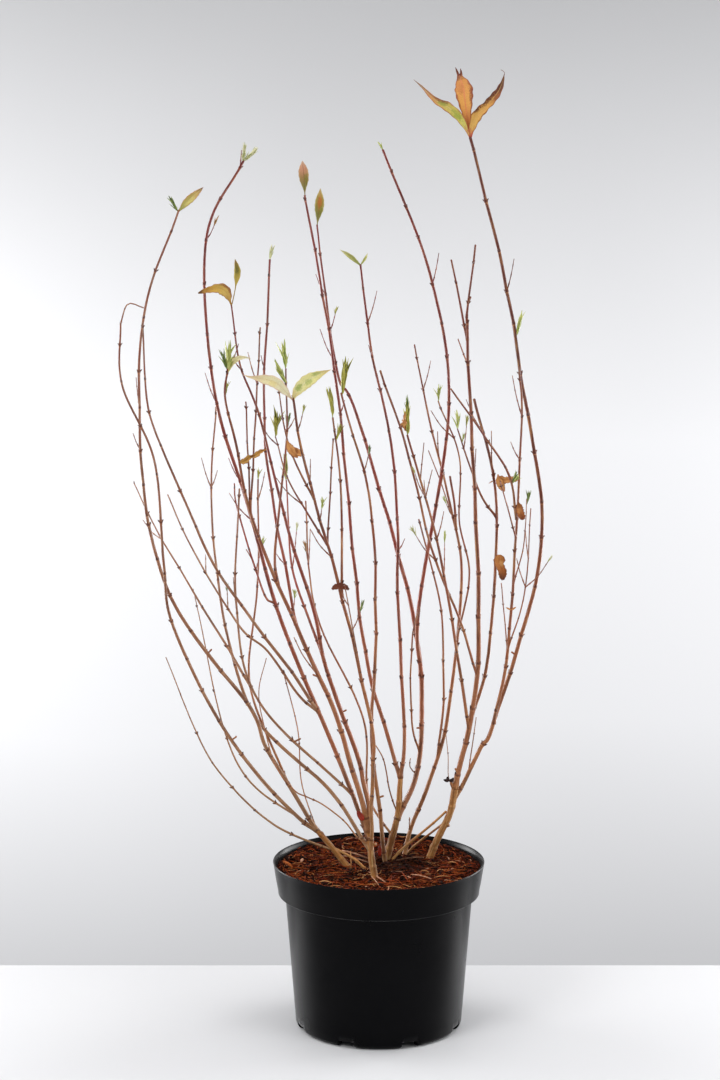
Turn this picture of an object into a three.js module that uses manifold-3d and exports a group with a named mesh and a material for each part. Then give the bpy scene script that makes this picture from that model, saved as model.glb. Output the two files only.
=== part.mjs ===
// A weigela in its pot, in late winter: a many-stemmed shrub of slender, nearly bare canes.
//
// Millimetres, +Z up. The origin is the centre of the pot's flat underside, and the shrub's front
// faces -Y. Four short trunks rise from the soil and fork into canes. Each cane is a tapering bough
// as far as its crown, and the crown is one fused mass: the cane's upper part with the shoots,
// twigs and leaves that grow from it. Thin shoots low on a bough are small masses of their own.

import * as THREE from "three";
import { mergeVertices } from "three/addons/utils/BufferGeometryUtils.js";
import Module from "manifold-3d";

const wasm = await Module();
wasm.setup();

// ---------------------------------------------------------------- driving dimensions

const CLEARANCE = 0.3; // left between pieces that meet
const SOIL_TOP = 213;

const POT = {
  height: 229,
  rimRadius: 143.8,
  collarRadius: 142.5, // just under the rim's lip
  collarFootRadius: 137,
  collarFoot: 185, // heights of the collar's foot and of the shoulder under it
  shoulder: 182.5,
  shoulderRadius: 127.5,
  bodyRadius: 126.6, // of the tapering body, at its top and just above the base
  baseRadius: 115,
  baseTop: 24,
  footRadius: 105, // of the flat underside
  lip: 8,
  lipThickness: 1.8,
  wall: 1.8,
  floor: 2.5,
  footBulge: { out: 7, up: 0.4 }, // the foot's round corner: how far out, and up as a share of the base
  taper: 10, // the body's top ends this far under the shoulder
};
const POT_SEGMENTS = 36;
const NOTCH = { count: 8, first: -23.5, width: 25, height: 9, depth: 9 }; // drainage; its bearing in degrees
const SOIL = { wallGap: 0.5, edgeRise: 4, edgeWidth: 34, edgeGap: 1.5 }; // it rises a little to the wall

const FLARE = { height: 24, growth: 0.12 }; // how the stems widen at the soil
const RING_SPACING = 32; // between the rings of a limb's mesh
const LIMB_SIDES = 6;
const SHOOT_SIDES = 4;
const TWIG_SIDES = 3;
const CURVE_STEPS = 14; // steps along a stem's curve for each point that it passes
const TRACK_STEP = 2; // of the fine line that a stem's nodes are measured along
const BURIED = 12; // how far a stem's solid is drawn into the soil before it is cut flat
const REACH = { limb: 8, mass: 20 }; // how far round a piece its neighbours are looked for

// The rule that every crown grows by: buds sit in opposite pairs that turn a quarter at each node,
// and some buds have grown into a short twig that ends in a small leaf.
const GROWTH = {
  firstNode: 20,
  nodeSpacing: [44, 72],
  thinStem: 1.6, // a stem of less radius has its nodes closer, by this share
  thinSpacing: 0.68,
  turn: Math.PI / 2,
  wander: 0.5, // random part of the turn, radians
  lowest: 560, // height under which a stem's side buds have died off
  twigChance: 0.2,
  twigLength: [18, 56],
  twigRadius: [0.9, 0.6],
  twigLean: [0.38, 0.66], // angle to the stem, radians
  twigRise: 0.35, // how far a twig turns up along its length
  leafChance: 0.22,
  leafLength: [12, 22],
  gap: 1.2, // kept to every stem of another piece
  leafHold: 2, // how far down its twig's end a leaf starts
  seed: 2000, // added to the stem's own
};
const LEAF_SEED = 1000; // added to the stem's own, for the leaves that have a place
const LEAF_WIDTH = 0.26; // of its length
const LEAF_THICKNESS = 1.2;
const LEAF_SLANT = 0.5; // largest random lean of a leaf to the front or back, radians
const LEAF_PROBES = [0.2, 0.4, 0.6, 0.8, 1]; // where along a leaf its nearness to others is tested

// The stems. "foot" is where a stem leaves the soil (x, y); "from" and "at" are the stem that it
// springs from and the height there. "path" holds the points (x, z) that it passes, seen from the
// front, and "depth" the y of its tip. "radii" are at its foot and tip. A "crown" is the height at
// which a bough ends in its crown. "leaves" are (height, lean from upright in degrees, length).
const STEMS = {
  trunk_front: { foot: [-5, -50], path: [[-11, 256], [-14, 282]], depth: -46, radii: [4.4, 4.3] },
  trunk_left: { foot: [-39, 10], path: [[-61, 242], [-84, 270]], depth: 0, radii: [4.0, 3.7] },
  trunk_middle: { foot: [10, 45], path: [[25, 275], [30, 335]], depth: 35, radii: [5.3, 3.4] },
  trunk_right: {
    foot: [70, 55], depth: 35, radii: [4.8, 4.7],
    path: [[81, 243], [97, 281], [105, 320]],
  },
  limb_left: { foot: [-15, 0], path: [[-35, 230], [-65, 245]], depth: 10, radii: [2.0, 1.8] },
  limb_slanting: {
    foot: [15, 40], path: [[33, 232], [62, 258], [93, 285]], depth: 45, radii: [2.0, 1.6],
  },
  limb_slanting_back: { foot: [38, 80], path: [[55, 233], [90, 268]], depth: 50, radii: [1.7, 1.5] },

  far_left: {
    from: "trunk_left", at: 270, depth: -60, radii: [2.65, 1.25], crown: 620,
    path: [
      [-108, 288], [-160, 345], [-220, 435], [-275, 560], [-285, 640], [-295, 780], [-335, 880],
      [-335, 960],
    ],
  },
  left: {
    from: "trunk_left", at: 270, depth: 30, radii: [2.95, 1.4], crown: 700,
    path: [[-150, 380], [-175, 440], [-270, 570], [-310, 695], [-320, 855], [-310, 980], [-265, 1105]],
    leaves: [[1103, -30, 26], [1103, 45, 50]],
  },
  left_back: {
    from: "trunk_front", at: 255, depth: 140, radii: [2.75, 1.15], crown: 600,
    path: [[-70, 335], [-165, 420], [-210, 545], [-230, 705], [-225, 835]],
  },
  left_tall: {
    from: "trunk_front", at: 270, depth: 50, radii: [3.2, 1.65], crown: 575,
    path: [[-55, 380], [-130, 560], [-175, 715], [-220, 870], [-230, 1065], [-180, 1170]],
    leaves: [[1168, 10, 28], [1168, 48, 30]],
  },
  left_front: {
    from: "left_tall", at: 440, depth: -130, radii: [2.35, 1.1], crown: 700,
    path: [[-115, 495], [-210, 635], [-255, 740], [-295, 850], [-300, 965]],
  },
  left_low: {
    from: "left_tall", at: 330, depth: -20, radii: [1.95, 1.25], crown: 465,
    path: [[-160, 455], [-190, 585], [-185, 740]],
  },
  inner_left: {
    from: "trunk_front", at: 282, depth: -150, radii: [3.8, 1.3], crown: 700,
    path: [
      [-22, 323], [-37, 372], [-55, 440], [-90, 525], [-160, 700], [-185, 820], [-196, 873],
      [-192, 908],
    ],
    leaves: [[787, 62, 40], [872, 4, 24], [905, -16, 30], [907, 8, 42], [902, 42, 46]],
  },
  leafy_left: {
    from: "trunk_front", at: 282, depth: -90, radii: [3.5, 1.05], crown: 515,
    path: [
      [-13, 314], [-21, 350], [-30, 390], [-70, 505], [-85, 580], [-120, 695], [-155, 840],
      [-180, 910], [-190, 985],
    ],
    leaves: [[984, 4, 60], [984, -62, 48]],
  },
  front: {
    from: "trunk_front", at: 252, depth: -160, radii: [2.8, 1.6], crown: 480,
    path: [[-9, 285], [-11, 319], [-8, 375], [-10, 430], [-45, 595], [-95, 785], [-110, 875]],
    leaves: [[625, 62, 24], [868, -62, 72], [868, 50, 64]],
  },
  centre_front: {
    foot: [10, 30], depth: -60, radii: [3.1, 1.3], crown: 560,
    path: [[-10, 405], [-5, 505], [-10, 710], [-50, 870]],
    leaves: [[866, 6, 54]],
  },
  centre: {
    from: "trunk_middle", at: 335, depth: 100, radii: [2.9, 1.5], crown: 640,
    path: [[-15, 490], [-35, 645], [-50, 805], [-65, 925], [-100, 1125]],
    leaves: [[1124, -4, 47]],
  },
  centre_back: {
    from: "trunk_middle", at: 275, depth: 170, radii: [3.9, 1.2], crown: 700,
    path: [[50, 330], [60, 420], [45, 565], [-30, 825], [-55, 875], [-70, 965], [-85, 1085]],
    leaves: [[1084, 6, 51]],
  },
  centre_slim: {
    from: "trunk_middle", at: 335, depth: -30, radii: [2.75, 1.4], crown: 620,
    path: [[35, 395], [25, 600], [25, 685], [15, 805], [-10, 920], [-25, 1035]],
    leaves: [[1034, -52, 34], [1034, 32, 20]],
  },
  right_slim: {
    from: "centre_back", at: 470, depth: 80, radii: [2.9, 1.6], crown: 800,
    path: [[55, 565], [95, 835], [70, 1015], [5, 1185]],
    leaves: [[1184, -28, 14]],
  },
  right_back: {
    foot: [35, 65], depth: 160, radii: [3.2, 1.1], crown: 500,
    path: [
      [47, 260], [69, 313], [93, 391], [110, 520], [115, 620], [95, 720], [70, 820], [50, 920],
    ],
  },
  inner_right: {
    from: "trunk_right", at: 320, depth: 0, radii: [3.8, 2], crown: 850,
    path: [[135, 520], [115, 965]],
  },
  right_middle: {
    from: "inner_right", at: 415, depth: 90, radii: [2.4, 1.9], crown: 600,
    path: [[150, 510], [160, 715], [130, 850]],
    leaves: [[640, 168, 36], [727, 14, 34]],
  },
  far_right: {
    from: "trunk_right", at: 302, depth: 40, radii: [3, 2], crown: 860,
    path: [[115, 323], [139, 376], [160, 420], [220, 660], [190, 885], [165, 1025], [120, 1200]],
    leaves: [[935, 14, 40], [1199, -46, 103], [1199, -9, 90], [1199, 28, 96]],
  },
  right_front: {
    from: "far_right", at: 410, depth: -70, radii: [2.4, 1.3], crown: 505,
    path: [[175, 530], [185, 820], [180, 905]],
    leaves: [[727, 155, 26]],
  },

  back_left: {
    from: "left", at: 330, path: [[-175, 465], [-165, 600], [-165, 740]], depth: 90,
    radii: [1.8, 1.2], leaves: [[739, 6, 18]],
  },
  pale: {
    from: "inner_left", at: 570, path: [[-150, 805], [-145, 1040]], depth: 30,
    radii: [2.1, 1.45], leaves: [[1039, 10, 22]],
  },
  tufted: {
    from: "inner_left", at: 625, path: [[-135, 675], [-120, 810], [-120, 905]], depth: -110,
    radii: [1.9, 1], leaves: [[826, 8, 24], [885, -24, 38], [904, -6, 40]],
  },
  front_right: {
    from: "inner_right", at: 405, path: [[80, 655], [35, 820]], depth: -110,
    radii: [2.3, 1.35], leaves: [[819, 0, 54]],
  },
  arched_front: {
    from: "inner_right", at: 480, path: [[105, 570], [70, 660], [35, 800], [0, 905]], depth: -150,
    radii: [1.8, 1.4],
  },
  crossing: {
    from: "left_tall", at: 440, depth: 40, radii: [1.9, 0.9],
    path: [[-110, 465], [-150, 520], [-190, 555], [-255, 660], [-285, 725]],
  },
  low_left: {
    from: "trunk_left", at: 270, path: [[-195, 360], [-255, 590]], depth: 80, radii: [1.6, 0.65],
  },
  stray_left: {
    from: "trunk_left", at: 240, path: [[-145, 285], [-225, 380], [-280, 525]], depth: -80,
    radii: [1.7, 0.65],
  },
  thin_left: {
    from: "trunk_left", at: 270, path: [[-105, 335], [-110, 405], [-130, 485]], depth: 30,
    radii: [0.9, 0.8],
  },
  wiry_centre: {
    from: "trunk_middle", at: 250, depth: 90, radii: [1.7, 1.1],
    path: [[-15, 310], [-20, 410], [-80, 540], [-95, 615], [-100, 710]],
  },
  thin_centre: {
    from: "centre_back", at: 365, path: [[45, 415], [45, 525], [55, 575]], depth: 20,
    radii: [1.5, 1.1],
  },
  thin_right: {
    from: "right_back", at: 350, path: [[90, 440], [85, 565], [55, 685]], depth: 90,
    radii: [1.9, 1.1],
  },

  hook: { from: "far_left", at: 960, path: [[-325, 985], [-305, 980]], depth: -60, radii: [1.0, 0.8] },
  inner_left_left: { from: "inner_left", at: 720, path: [[-170, 865]], depth: -140, radii: [1.3, 1] },
  inner_left_right: { from: "inner_left", at: 720, path: [[-150, 960]], depth: -165, radii: [1.4, 1] },
  tall_side: {
    from: "left_tall", at: 585, path: [[-155, 600], [-190, 705], [-195, 740]], depth: 40,
    radii: [1.5, 1.1],
  },
  leafy_side: {
    from: "leafy_left", at: 525, path: [[-115, 630], [-125, 745]], depth: 40, radii: [2, 1],
    leaves: [[744, 0, 45]],
  },
  low_side: { from: "left_low", at: 475, path: [[-300, 660], [-340, 730]], depth: 140, radii: [1.9, 0.8] },
  front_first: { from: "front", at: 490, path: [[-45, 630]], depth: -140, radii: [1.1, 0.7] },
  front_second: {
    from: "front", at: 610, path: [[-50, 755], [-60, 845]], depth: -140, radii: [1.8, 1.2],
    leaves: [[815, 18, 26], [844, -4, 42]],
  },
  front_third: { from: "front", at: 680, path: [[-60, 815]], depth: -110, radii: [1.3, 1] },
  front_fourth: {
    from: "front", at: 680, path: [[-115, 755], [-135, 815]], depth: -80, radii: [1.5, 0.8],
    leaves: [[814, 3, 46]],
  },
  front_fifth: {
    from: "front", at: 740, path: [[-115, 805], [-130, 885]], depth: -130, radii: [1.5, 0.8],
    leaves: [[803, 100, 24]],
  },
  back_side: {
    from: "right_back", at: 510, path: [[125, 610], [110, 685], [110, 770], [80, 850]], depth: 60,
    radii: [1.6, 1], leaves: [[849, 0, 27]],
  },
  inner_right_left: { from: "inner_right", at: 935, path: [[95, 1040]], depth: 20, radii: [1.7, 1.2] },
  inner_right_right: { from: "inner_right", at: 965, path: [[125, 1060]], depth: -20, radii: [1.6, 1.35] },
  inner_right_spur: { from: "inner_right", at: 900, path: [[105, 935]], depth: 30, radii: [1.0, 0.8] },
  middle_side: {
    from: "right_middle", at: 690, path: [[135, 730], [105, 815]], depth: 30, radii: [1.7, 0.9],
    leaves: [[796, 12, 15], [814, -2, 28]],
  },
  right_first: { from: "right_front", at: 515, path: [[160, 620]], depth: -60, radii: [1.0, 0.7] },
  right_second: {
    from: "right_front", at: 515, path: [[195, 600], [200, 715]], depth: -30, radii: [1.1, 0.8],
  },
  right_third: {
    from: "right_front", at: 605, path: [[190, 670], [190, 735]], depth: -90, radii: [1.1, 0.6],
    leaves: [[726, 10, 22]],
  },
  right_fourth: { from: "right_front", at: 675, path: [[155, 760]], depth: -100, radii: [1.2, 0.8] },
  right_fifth: {
    from: "right_front", at: 700, path: [[165, 770], [90, 880]], depth: -120, radii: [1.8, 1.1],
    leaves: [[750, 22, 20]],
  },
  back_snag: { from: "right_back", at: 665, path: [[106, 700], [99, 740]], depth: 126, radii: [1.8, 1.6] },
  back_hook: { from: "right_back", at: 679, path: [[85, 735], [69, 776]], depth: 125, radii: [1.1, 0.7] },
  back_spur: { from: "right_back", at: 765, path: [[82, 801]], depth: 139, radii: [1.0, 0.6] },
  middle_spur: { from: "middle_side", at: 743, path: [[131, 786]], depth: 50, radii: [0.9, 0.6] },
  middle_twig: { from: "right_middle", at: 758, path: [[153, 808]], depth: 75, radii: [0.9, 0.6] },
  tall_spur: { from: "tall_side", at: 641, path: [[-178, 655]], depth: 8, radii: [0.8, 0.6] },
};

// ---------------------------------------------------------------- small helpers

const lerp = THREE.MathUtils.lerp;

// A repeatable source of numbers from 0 to 1.
function seeded(seed) {
  let state = Math.imul(seed, 2654435761) >>> 0;
  return () => {
    state = (Math.imul(state, 1664525) + 1013904223) >>> 0;
    return state / 4294967296;
  };
}

function solidOf(geometry) {
  const bare = geometry.clone();
  bare.deleteAttribute("normal");
  bare.deleteAttribute("uv");
  const merged = mergeVertices(bare);
  return new wasm.Manifold(new wasm.Mesh({
    numProp: 3,
    vertProperties: merged.attributes.position.array,
    triVerts: new Uint32Array(merged.index.array),
  }));
}

function geometryOf(solid) {
  const mesh = solid.getMesh();
  const geometry = new THREE.BufferGeometry();
  geometry.setAttribute("position", new THREE.BufferAttribute(mesh.vertProperties, 3));
  geometry.setIndex(new THREE.BufferAttribute(mesh.triVerts, 1));
  geometry.computeVertexNormals();
  return geometry;
}

// The largest of the pieces that a cut leaves.
function largestPiece(solid) {
  const pieces = solid.decompose();
  return pieces.reduce((best, piece) => (piece.volume() > best.volume() ? piece : best));
}

// ---------------------------------------------------------------- curves and tapering tubes

// Even stations along a polyline, about "spacing" apart.
function evenStations(points, spacing) {
  const travelled = [0];
  for (let i = 1; i < points.length; i += 1) {
    travelled.push(travelled[i - 1] + points[i].distanceTo(points[i - 1]));
  }
  const length = travelled.at(-1);
  const count = Math.max(1, Math.ceil(length / spacing));
  const stations = [];
  let span = 1;
  for (let i = 0; i <= count; i += 1) {
    const target = (length * i) / count;
    while (span < points.length - 1 && travelled[span] < target) {
      span += 1;
    }
    const part = (target - travelled[span - 1]) / (travelled[span] - travelled[span - 1]);
    stations.push(points[span - 1].clone().lerp(points[span], part));
  }
  return stations;
}

const NEARLY_PARALLEL = 0.9; // the cosine past which a direction can't be squared to the front

// Unit directions along a polyline, with two unit vectors square to each that turn no more than
// the line itself does.
function framesAlong(points) {
  const frames = [];
  let side = null;
  points.forEach((point, i) => {
    const before = points[Math.max(i - 1, 0)];
    const after = points[Math.min(i + 1, points.length - 1)];
    const along = after.clone().sub(before).normalize();
    if (side === null) {
      const facesFront = Math.abs(along.y) > NEARLY_PARALLEL;
      side = facesFront ? new THREE.Vector3(1, 0, 0) : new THREE.Vector3(0, 1, 0);
    }
    side = side.clone().addScaledVector(along, -side.dot(along)).normalize();
    frames.push({ along, side, across: along.clone().cross(side) });
  });
  return frames;
}

// A closed tube through the points: a cylinder, bent, with a radius of its own at each point.
function bentCylinder(points, radii, sides) {
  const rings = points.length - 1;
  const geometry = new THREE.CylinderGeometry(1, 1, rings, sides, rings);
  const frames = framesAlong(points);
  const position = geometry.attributes.position;
  const vertex = new THREE.Vector3();
  for (let i = 0; i < position.count; i += 1) {
    vertex.fromBufferAttribute(position, i);
    const ring = Math.round(vertex.y + rings / 2);
    const { side, across } = frames[ring];
    const offset = side.clone().multiplyScalar(vertex.z).addScaledVector(across, vertex.x);
    vertex.copy(points[ring]).addScaledVector(offset, radii[ring]);
    position.setXYZ(i, vertex.x, vertex.y, vertex.z);
  }
  return solidOf(geometry);
}

// ---------------------------------------------------------------- the stems

function pointAtHeight(points, height) {
  const upper = points.findIndex((point) => point.z >= height);
  if (upper < 1) {
    return (upper === 0 ? points[0] : points.at(-1)).clone();
  }
  const [below, above] = [points[upper - 1], points[upper]];
  return below.clone().lerp(above, (height - below.z) / (above.z - below.z));
}

// The stem's centre line: a smooth curve through its path, its depth shared out along its length.
function centreLine(stem, start) {
  const route = [[start.x, start.z], ...stem.path];
  const travelled = [0];
  for (let i = 1; i < route.length; i += 1) {
    const step = Math.hypot(route[i][0] - route[i - 1][0], route[i][1] - route[i - 1][1]);
    travelled.push(travelled[i - 1] + step);
  }
  const controls = route.map(([x, z], i) => {
    const y = lerp(start.y, stem.depth, travelled[i] / travelled.at(-1));
    return new THREE.Vector3(x, y, z);
  });
  const curve = new THREE.CatmullRomCurve3(controls, false, "catmullrom", 0.5);
  return curve.getPoints(CURVE_STEPS * stem.path.length);
}

function flare(height) {
  const rise = Math.max(0, 1 - (height - SOIL_TOP) / FLARE.height);
  return 1 + FLARE.growth * rise * rise;
}

// Adds each stem's line, stations and radii to its row of the table, in the table's order, as a stem
// springs from one above it. A stem with no crown of its own that springs from within another's
// crown grows as part of that crown.
function layOutStems() {
  Object.entries(STEMS).forEach(([name, stem], index) => {
    const parent = STEMS[stem.from];
    const start = parent
      ? pointAtHeight(parent.line, stem.at)
      : new THREE.Vector3(stem.foot[0], stem.foot[1], SOIL_TOP);
    stem.seed = index + 1;
    stem.line = centreLine(stem, start);
    stem.stations = evenStations(stem.line, RING_SPACING);
    const last = stem.stations.length - 1;
    stem.radiusAt = (part, point) => {
      const radius = lerp(stem.radii[0], stem.radii[1], part);
      return stem.foot ? radius * flare(point.z) : radius;
    };
    stem.widths = stem.stations.map((point, i) => stem.radiusAt(i / last, point));
    const inCrown = parent && !stem.crown && (parent.host || (parent.crown && stem.at > parent.crown));
    if (inCrown) {
      stem.host = parent.host ?? stem.from;
    }
    stem.name = name;
    const leafTips = (stem.leaves ?? []).map(([height, , length]) => height + length);
    stem.top = Math.max(stem.stations[last].z, ...leafTips);
  });
}

// The stretch of a stem from one height to another, as stations with radii. It ends square.
function stretch(stem, low, high) {
  const last = stem.stations.length - 1;
  const kept = [];
  stem.stations.forEach((point, i) => {
    if (point.z > low && point.z < high) {
      kept.push({ point, radius: stem.widths[i] });
    }
  });
  const between = (height) => {
    const upper = stem.stations.findIndex((point) => point.z >= height);
    const [below, above] = [stem.stations[upper - 1], stem.stations[upper]];
    const part = (height - below.z) / (above.z - below.z);
    const point = below.clone().lerp(above, part);
    return { point, radius: stem.radiusAt((upper - 1 + part) / last, point) };
  };
  if (low > stem.stations[0].z) {
    kept.unshift(between(low));
  }
  if (high < stem.stations[last].z) {
    kept.push(between(high));
  }
  return kept;
}

function tube(rings, sides, extra = 0) {
  const corner = Math.cos(Math.PI / sides); // the flats of an inflated tube clear the round stem
  const grown = extra / corner;
  return bentCylinder(rings.map((ring) => ring.point), rings.map((ring) => ring.radius + grown), sides);
}

// ---------------------------------------------------------------- clearances between pieces

// Every stem and twig is a run of tapering links, and each belongs to one piece.
const links = [];

function addLinks(piece, rings) {
  for (let i = 1; i < rings.length; i += 1) {
    const radius = Math.max(rings[i - 1].radius, rings[i].radius);
    links.push({ piece, line: new THREE.Line3(rings[i - 1].point, rings[i].point), radius });
  }
}

// The clear gap between a run of rings and every link of the other pieces.
function gapToOthers(piece, rings) {
  let gap = Infinity;
  const nearest = new THREE.Vector3();
  for (const { point, radius } of rings) {
    for (const link of links) {
      if (link.piece !== piece) {
        link.line.closestPointToPoint(point, true, nearest);
        gap = Math.min(gap, nearest.distanceTo(point) - radius - link.radius);
      }
    }
  }
  return gap;
}

// ---------------------------------------------------------------- twigs and leaves

function leafSolid(root, direction, length) {
  const geometry = new THREE.OctahedronGeometry(0.5);
  geometry.scale(LEAF_WIDTH * length, LEAF_THICKNESS, length);
  geometry.translate(0, 0, length / 2);
  const turn = new THREE.Quaternion().setFromUnitVectors(new THREE.Vector3(0, 0, 1), direction);
  geometry.applyQuaternion(turn);
  geometry.translate(root.x, root.y, root.z);
  return solidOf(geometry);
}

// A leaf's outline as rings, to test what it comes near.
function leafRings(root, direction, length) {
  return LEAF_PROBES.map((part) => ({
    point: root.clone().addScaledVector(direction, length * part),
    radius: LEAF_WIDTH * length * Math.min(part, 1 - part),
  }));
}

// The leaves of a stem that have a place of their own.
function placedLeaves(stem, piece) {
  const random = seeded(LEAF_SEED + stem.seed);
  const solids = [];
  for (const [height, lean, length] of stem.leaves ?? []) {
    const root = pointAtHeight(stem.stations, height);
    const tilt = THREE.MathUtils.degToRad(lean);
    const slant = LEAF_SLANT * (2 * random() - 1);
    const direction = new THREE.Vector3(Math.sin(tilt), Math.sin(slant), Math.cos(tilt)).normalize();
    const leaf = leafRings(root, direction, length);
    if (gapToOthers(piece, leaf) > CLEARANCE) {
      solids.push(leafSolid(root, direction, length));
      addLinks(piece, leaf);
    }
  }
  return solids;
}

// Three rings of a twig that leaves the stem at an angle and turns up.
function twigRings(root, direction, length) {
  const tip = direction.clone().add(new THREE.Vector3(0, 0, GROWTH.twigRise)).normalize();
  const middle = root.clone().addScaledVector(direction, length / 2);
  const end = middle.clone().addScaledVector(tip, length / 2);
  const [foot, top] = GROWTH.twigRadius;
  return [
    { point: root, radius: foot },
    { point: middle, radius: (foot + top) / 2 },
    { point: end, radius: top },
  ];
}

// The nodes of a stem, from its foot up: where each is, and which way its pair of buds faces.
function nodesAlong(stem) {
  const random = seeded(stem.seed);
  const track = evenStations(stem.line, TRACK_STEP);
  const frames = framesAlong(track);
  const scale = stem.radii[0] < GROWTH.thinStem ? GROWTH.thinSpacing : 1;
  const nodes = [];
  let place = GROWTH.firstNode;
  let bearing = random() * Math.PI;
  while (place < (track.length - 1) * TRACK_STEP) {
    const step = Math.floor(place / TRACK_STEP);
    nodes.push({ point: track[step], bearing, ...frames[step] });
    place += scale * lerp(...GROWTH.nodeSpacing, random());
    bearing += GROWTH.turn + GROWTH.wander * (random() - 0.5);
  }
  return nodes;
}

// The twigs and small leaves that the growth rule gives a stem above a height.
function grownTwigs(stem, piece, low) {
  const random = seeded(GROWTH.seed + stem.seed);
  const solids = [];
  for (const { point, bearing, along, side, across } of nodesAlong(stem)) {
    for (const half of [0, Math.PI]) {
      const chance = random();
      const length = lerp(...GROWTH.twigLength, random());
      const lean = lerp(...GROWTH.twigLean, random());
      const hasLeaf = random() < GROWTH.leafChance;
      const leafLength = lerp(...GROWTH.leafLength, random());
      const out = side.clone().multiplyScalar(Math.cos(bearing + half));
      out.addScaledVector(across, Math.sin(bearing + half));
      const direction = along.clone().multiplyScalar(Math.cos(lean));
      direction.addScaledVector(out, Math.sin(lean));
      const rings = twigRings(point, direction, length);
      const end = rings.at(-1).point;
      const inside = point.z > Math.max(low + length, GROWTH.lowest) && end.z < stem.top;
      if (chance < GROWTH.twigChance && inside && gapToOthers(piece, rings) > GROWTH.gap) {
        solids.push(tube(rings, TWIG_SIDES));
        addLinks(piece, rings);
        const leafDirection = end.clone().sub(rings[1].point).normalize();
        const leafRoot = end.clone().addScaledVector(leafDirection, -GROWTH.leafHold);
        const leaf = leafRings(leafRoot, leafDirection, leafLength);
        if (hasLeaf && gapToOthers(piece, leaf) > GROWTH.gap) {
          solids.push(leafSolid(leafRoot, leafDirection, leafLength));
          addLinks(piece, leaf);
        }
      }
    }
  }
  return solids;
}

// ---------------------------------------------------------------- the pieces

// A profile of [radius, height] points turned about the pot's axis.
function turned(profile) {
  const lathe = new THREE.LatheGeometry(profile.map(([r, z]) => new THREE.Vector2(r, z)), POT_SEGMENTS);
  lathe.rotateX(Math.PI / 2);
  return solidOf(lathe);
}

function pot() {
  const p = POT;
  const profile = [
    [0, 0],
    [p.footRadius, 0],
    [p.footRadius + p.footBulge.out, p.baseTop * p.footBulge.up],
    [p.baseRadius, p.baseTop],
    [p.bodyRadius, p.shoulder - p.taper],
    [p.shoulderRadius, p.shoulder],
    [p.collarFootRadius, p.collarFoot],
    [p.collarRadius, p.height - p.lip],
    [p.rimRadius, p.height],
    [p.rimRadius - p.lipThickness, p.height],
    [p.collarRadius - p.wall, p.height - p.lip],
    [p.collarFootRadius - p.wall, p.collarFoot + p.wall],
    [p.shoulderRadius - p.wall, p.shoulder + p.wall],
    [p.bodyRadius - p.wall, p.shoulder - p.taper],
    [p.baseRadius - p.wall, p.baseTop],
    [p.footRadius - p.wall, p.floor],
    [0, p.floor],
  ];
  let solid = turned(profile);
  for (let i = 0; i < NOTCH.count; i += 1) {
    const notch = new THREE.BoxGeometry(2 * NOTCH.depth, NOTCH.width, 2 * NOTCH.height);
    notch.translate(p.footRadius + p.footBulge.out, 0, 0);
    notch.rotateZ((2 * Math.PI * i) / NOTCH.count + THREE.MathUtils.degToRad(NOTCH.first));
    solid = solid.subtract(solidOf(notch));
  }
  return solid;
}

// The soil, one solid that fills the pot and keeps clear of its wall.
function rootBall() {
  const p = POT;
  const inset = p.wall + SOIL.wallGap;
  const edge = p.collarRadius - inset - SOIL.edgeGap;
  const profile = [
    [0, p.floor + CLEARANCE],
    [p.footRadius - NOTCH.depth, p.floor + CLEARANCE],
    [p.baseRadius - inset, p.baseTop + p.wall / 2],
    [p.bodyRadius - inset, p.shoulder - p.taper],
    [p.shoulderRadius - inset, p.shoulder + 1.5 * p.wall],
    [p.collarFootRadius - inset - p.wall / 2, p.collarFoot + 1.5 * p.wall],
    [edge, SOIL_TOP + SOIL.edgeRise],
    [edge - SOIL.edgeWidth, SOIL_TOP],
    [0, SOIL_TOP],
  ];
  return turned(profile);
}

// A limb from its foot or fork to its tip or crown. Where it leaves the soil it is cut flat.
function limbRings(stem) {
  const rings = stretch(stem, -Infinity, stem.crown ?? Infinity);
  if (stem.foot) {
    const buried = rings[0].point.clone().sub(rings[1].point).setLength(BURIED);
    rings.unshift({ point: rings[0].point.clone().add(buried), radius: rings[0].radius });
  }
  return rings;
}

function soilBlock() {
  const block = new THREE.BoxGeometry(4 * POT.rimRadius, 4 * POT.rimRadius, SOIL_TOP);
  block.translate(0, 0, SOIL_TOP / 2 + CLEARANCE);
  return solidOf(block);
}

// Cuts a piece clear of the stretches of other stems that come near it.
function cutClear(solid, neighbours) {
  let result = solid;
  for (const neighbour of neighbours) {
    result = result.subtract(neighbour);
  }
  return largestPiece(result);
}

const TRUNKS = Object.keys(STEMS).filter((name) => /^(trunk|limb)_/.test(name));
const limbs = []; // { name, rings } of each trunk and bough, in the order that they are cut

function nearbyLimbs(rings, within) {
  const box = new THREE.Box3().setFromPoints(rings.map((ring) => ring.point)).expandByScalar(within);
  return limbs
    .filter((limb) => box.intersectsBox(new THREE.Box3().setFromPoints(limb.rings.map((r) => r.point))))
    .map((limb) => limb.inflated);
}

function buildLimbs() {
  const pieces = [];
  const soil = soilBlock();
  for (const stem of Object.values(STEMS)) {
    const isTrunk = TRUNKS.includes(stem.name);
    if (isTrunk || stem.crown) {
      const rings = limbRings(stem);
      const name = isTrunk ? stem.name : `cane_${stem.name}`;
      const solid = cutClear(tube(rings, LIMB_SIDES), [soil, ...nearbyLimbs(rings, REACH.limb)]);
      limbs.push({ name, rings, inflated: tube(rings, LIMB_SIDES, CLEARANCE) });
      addLinks(name, rings);
      pieces.push({ name, solid });
    }
  }
  return pieces;
}

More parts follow.
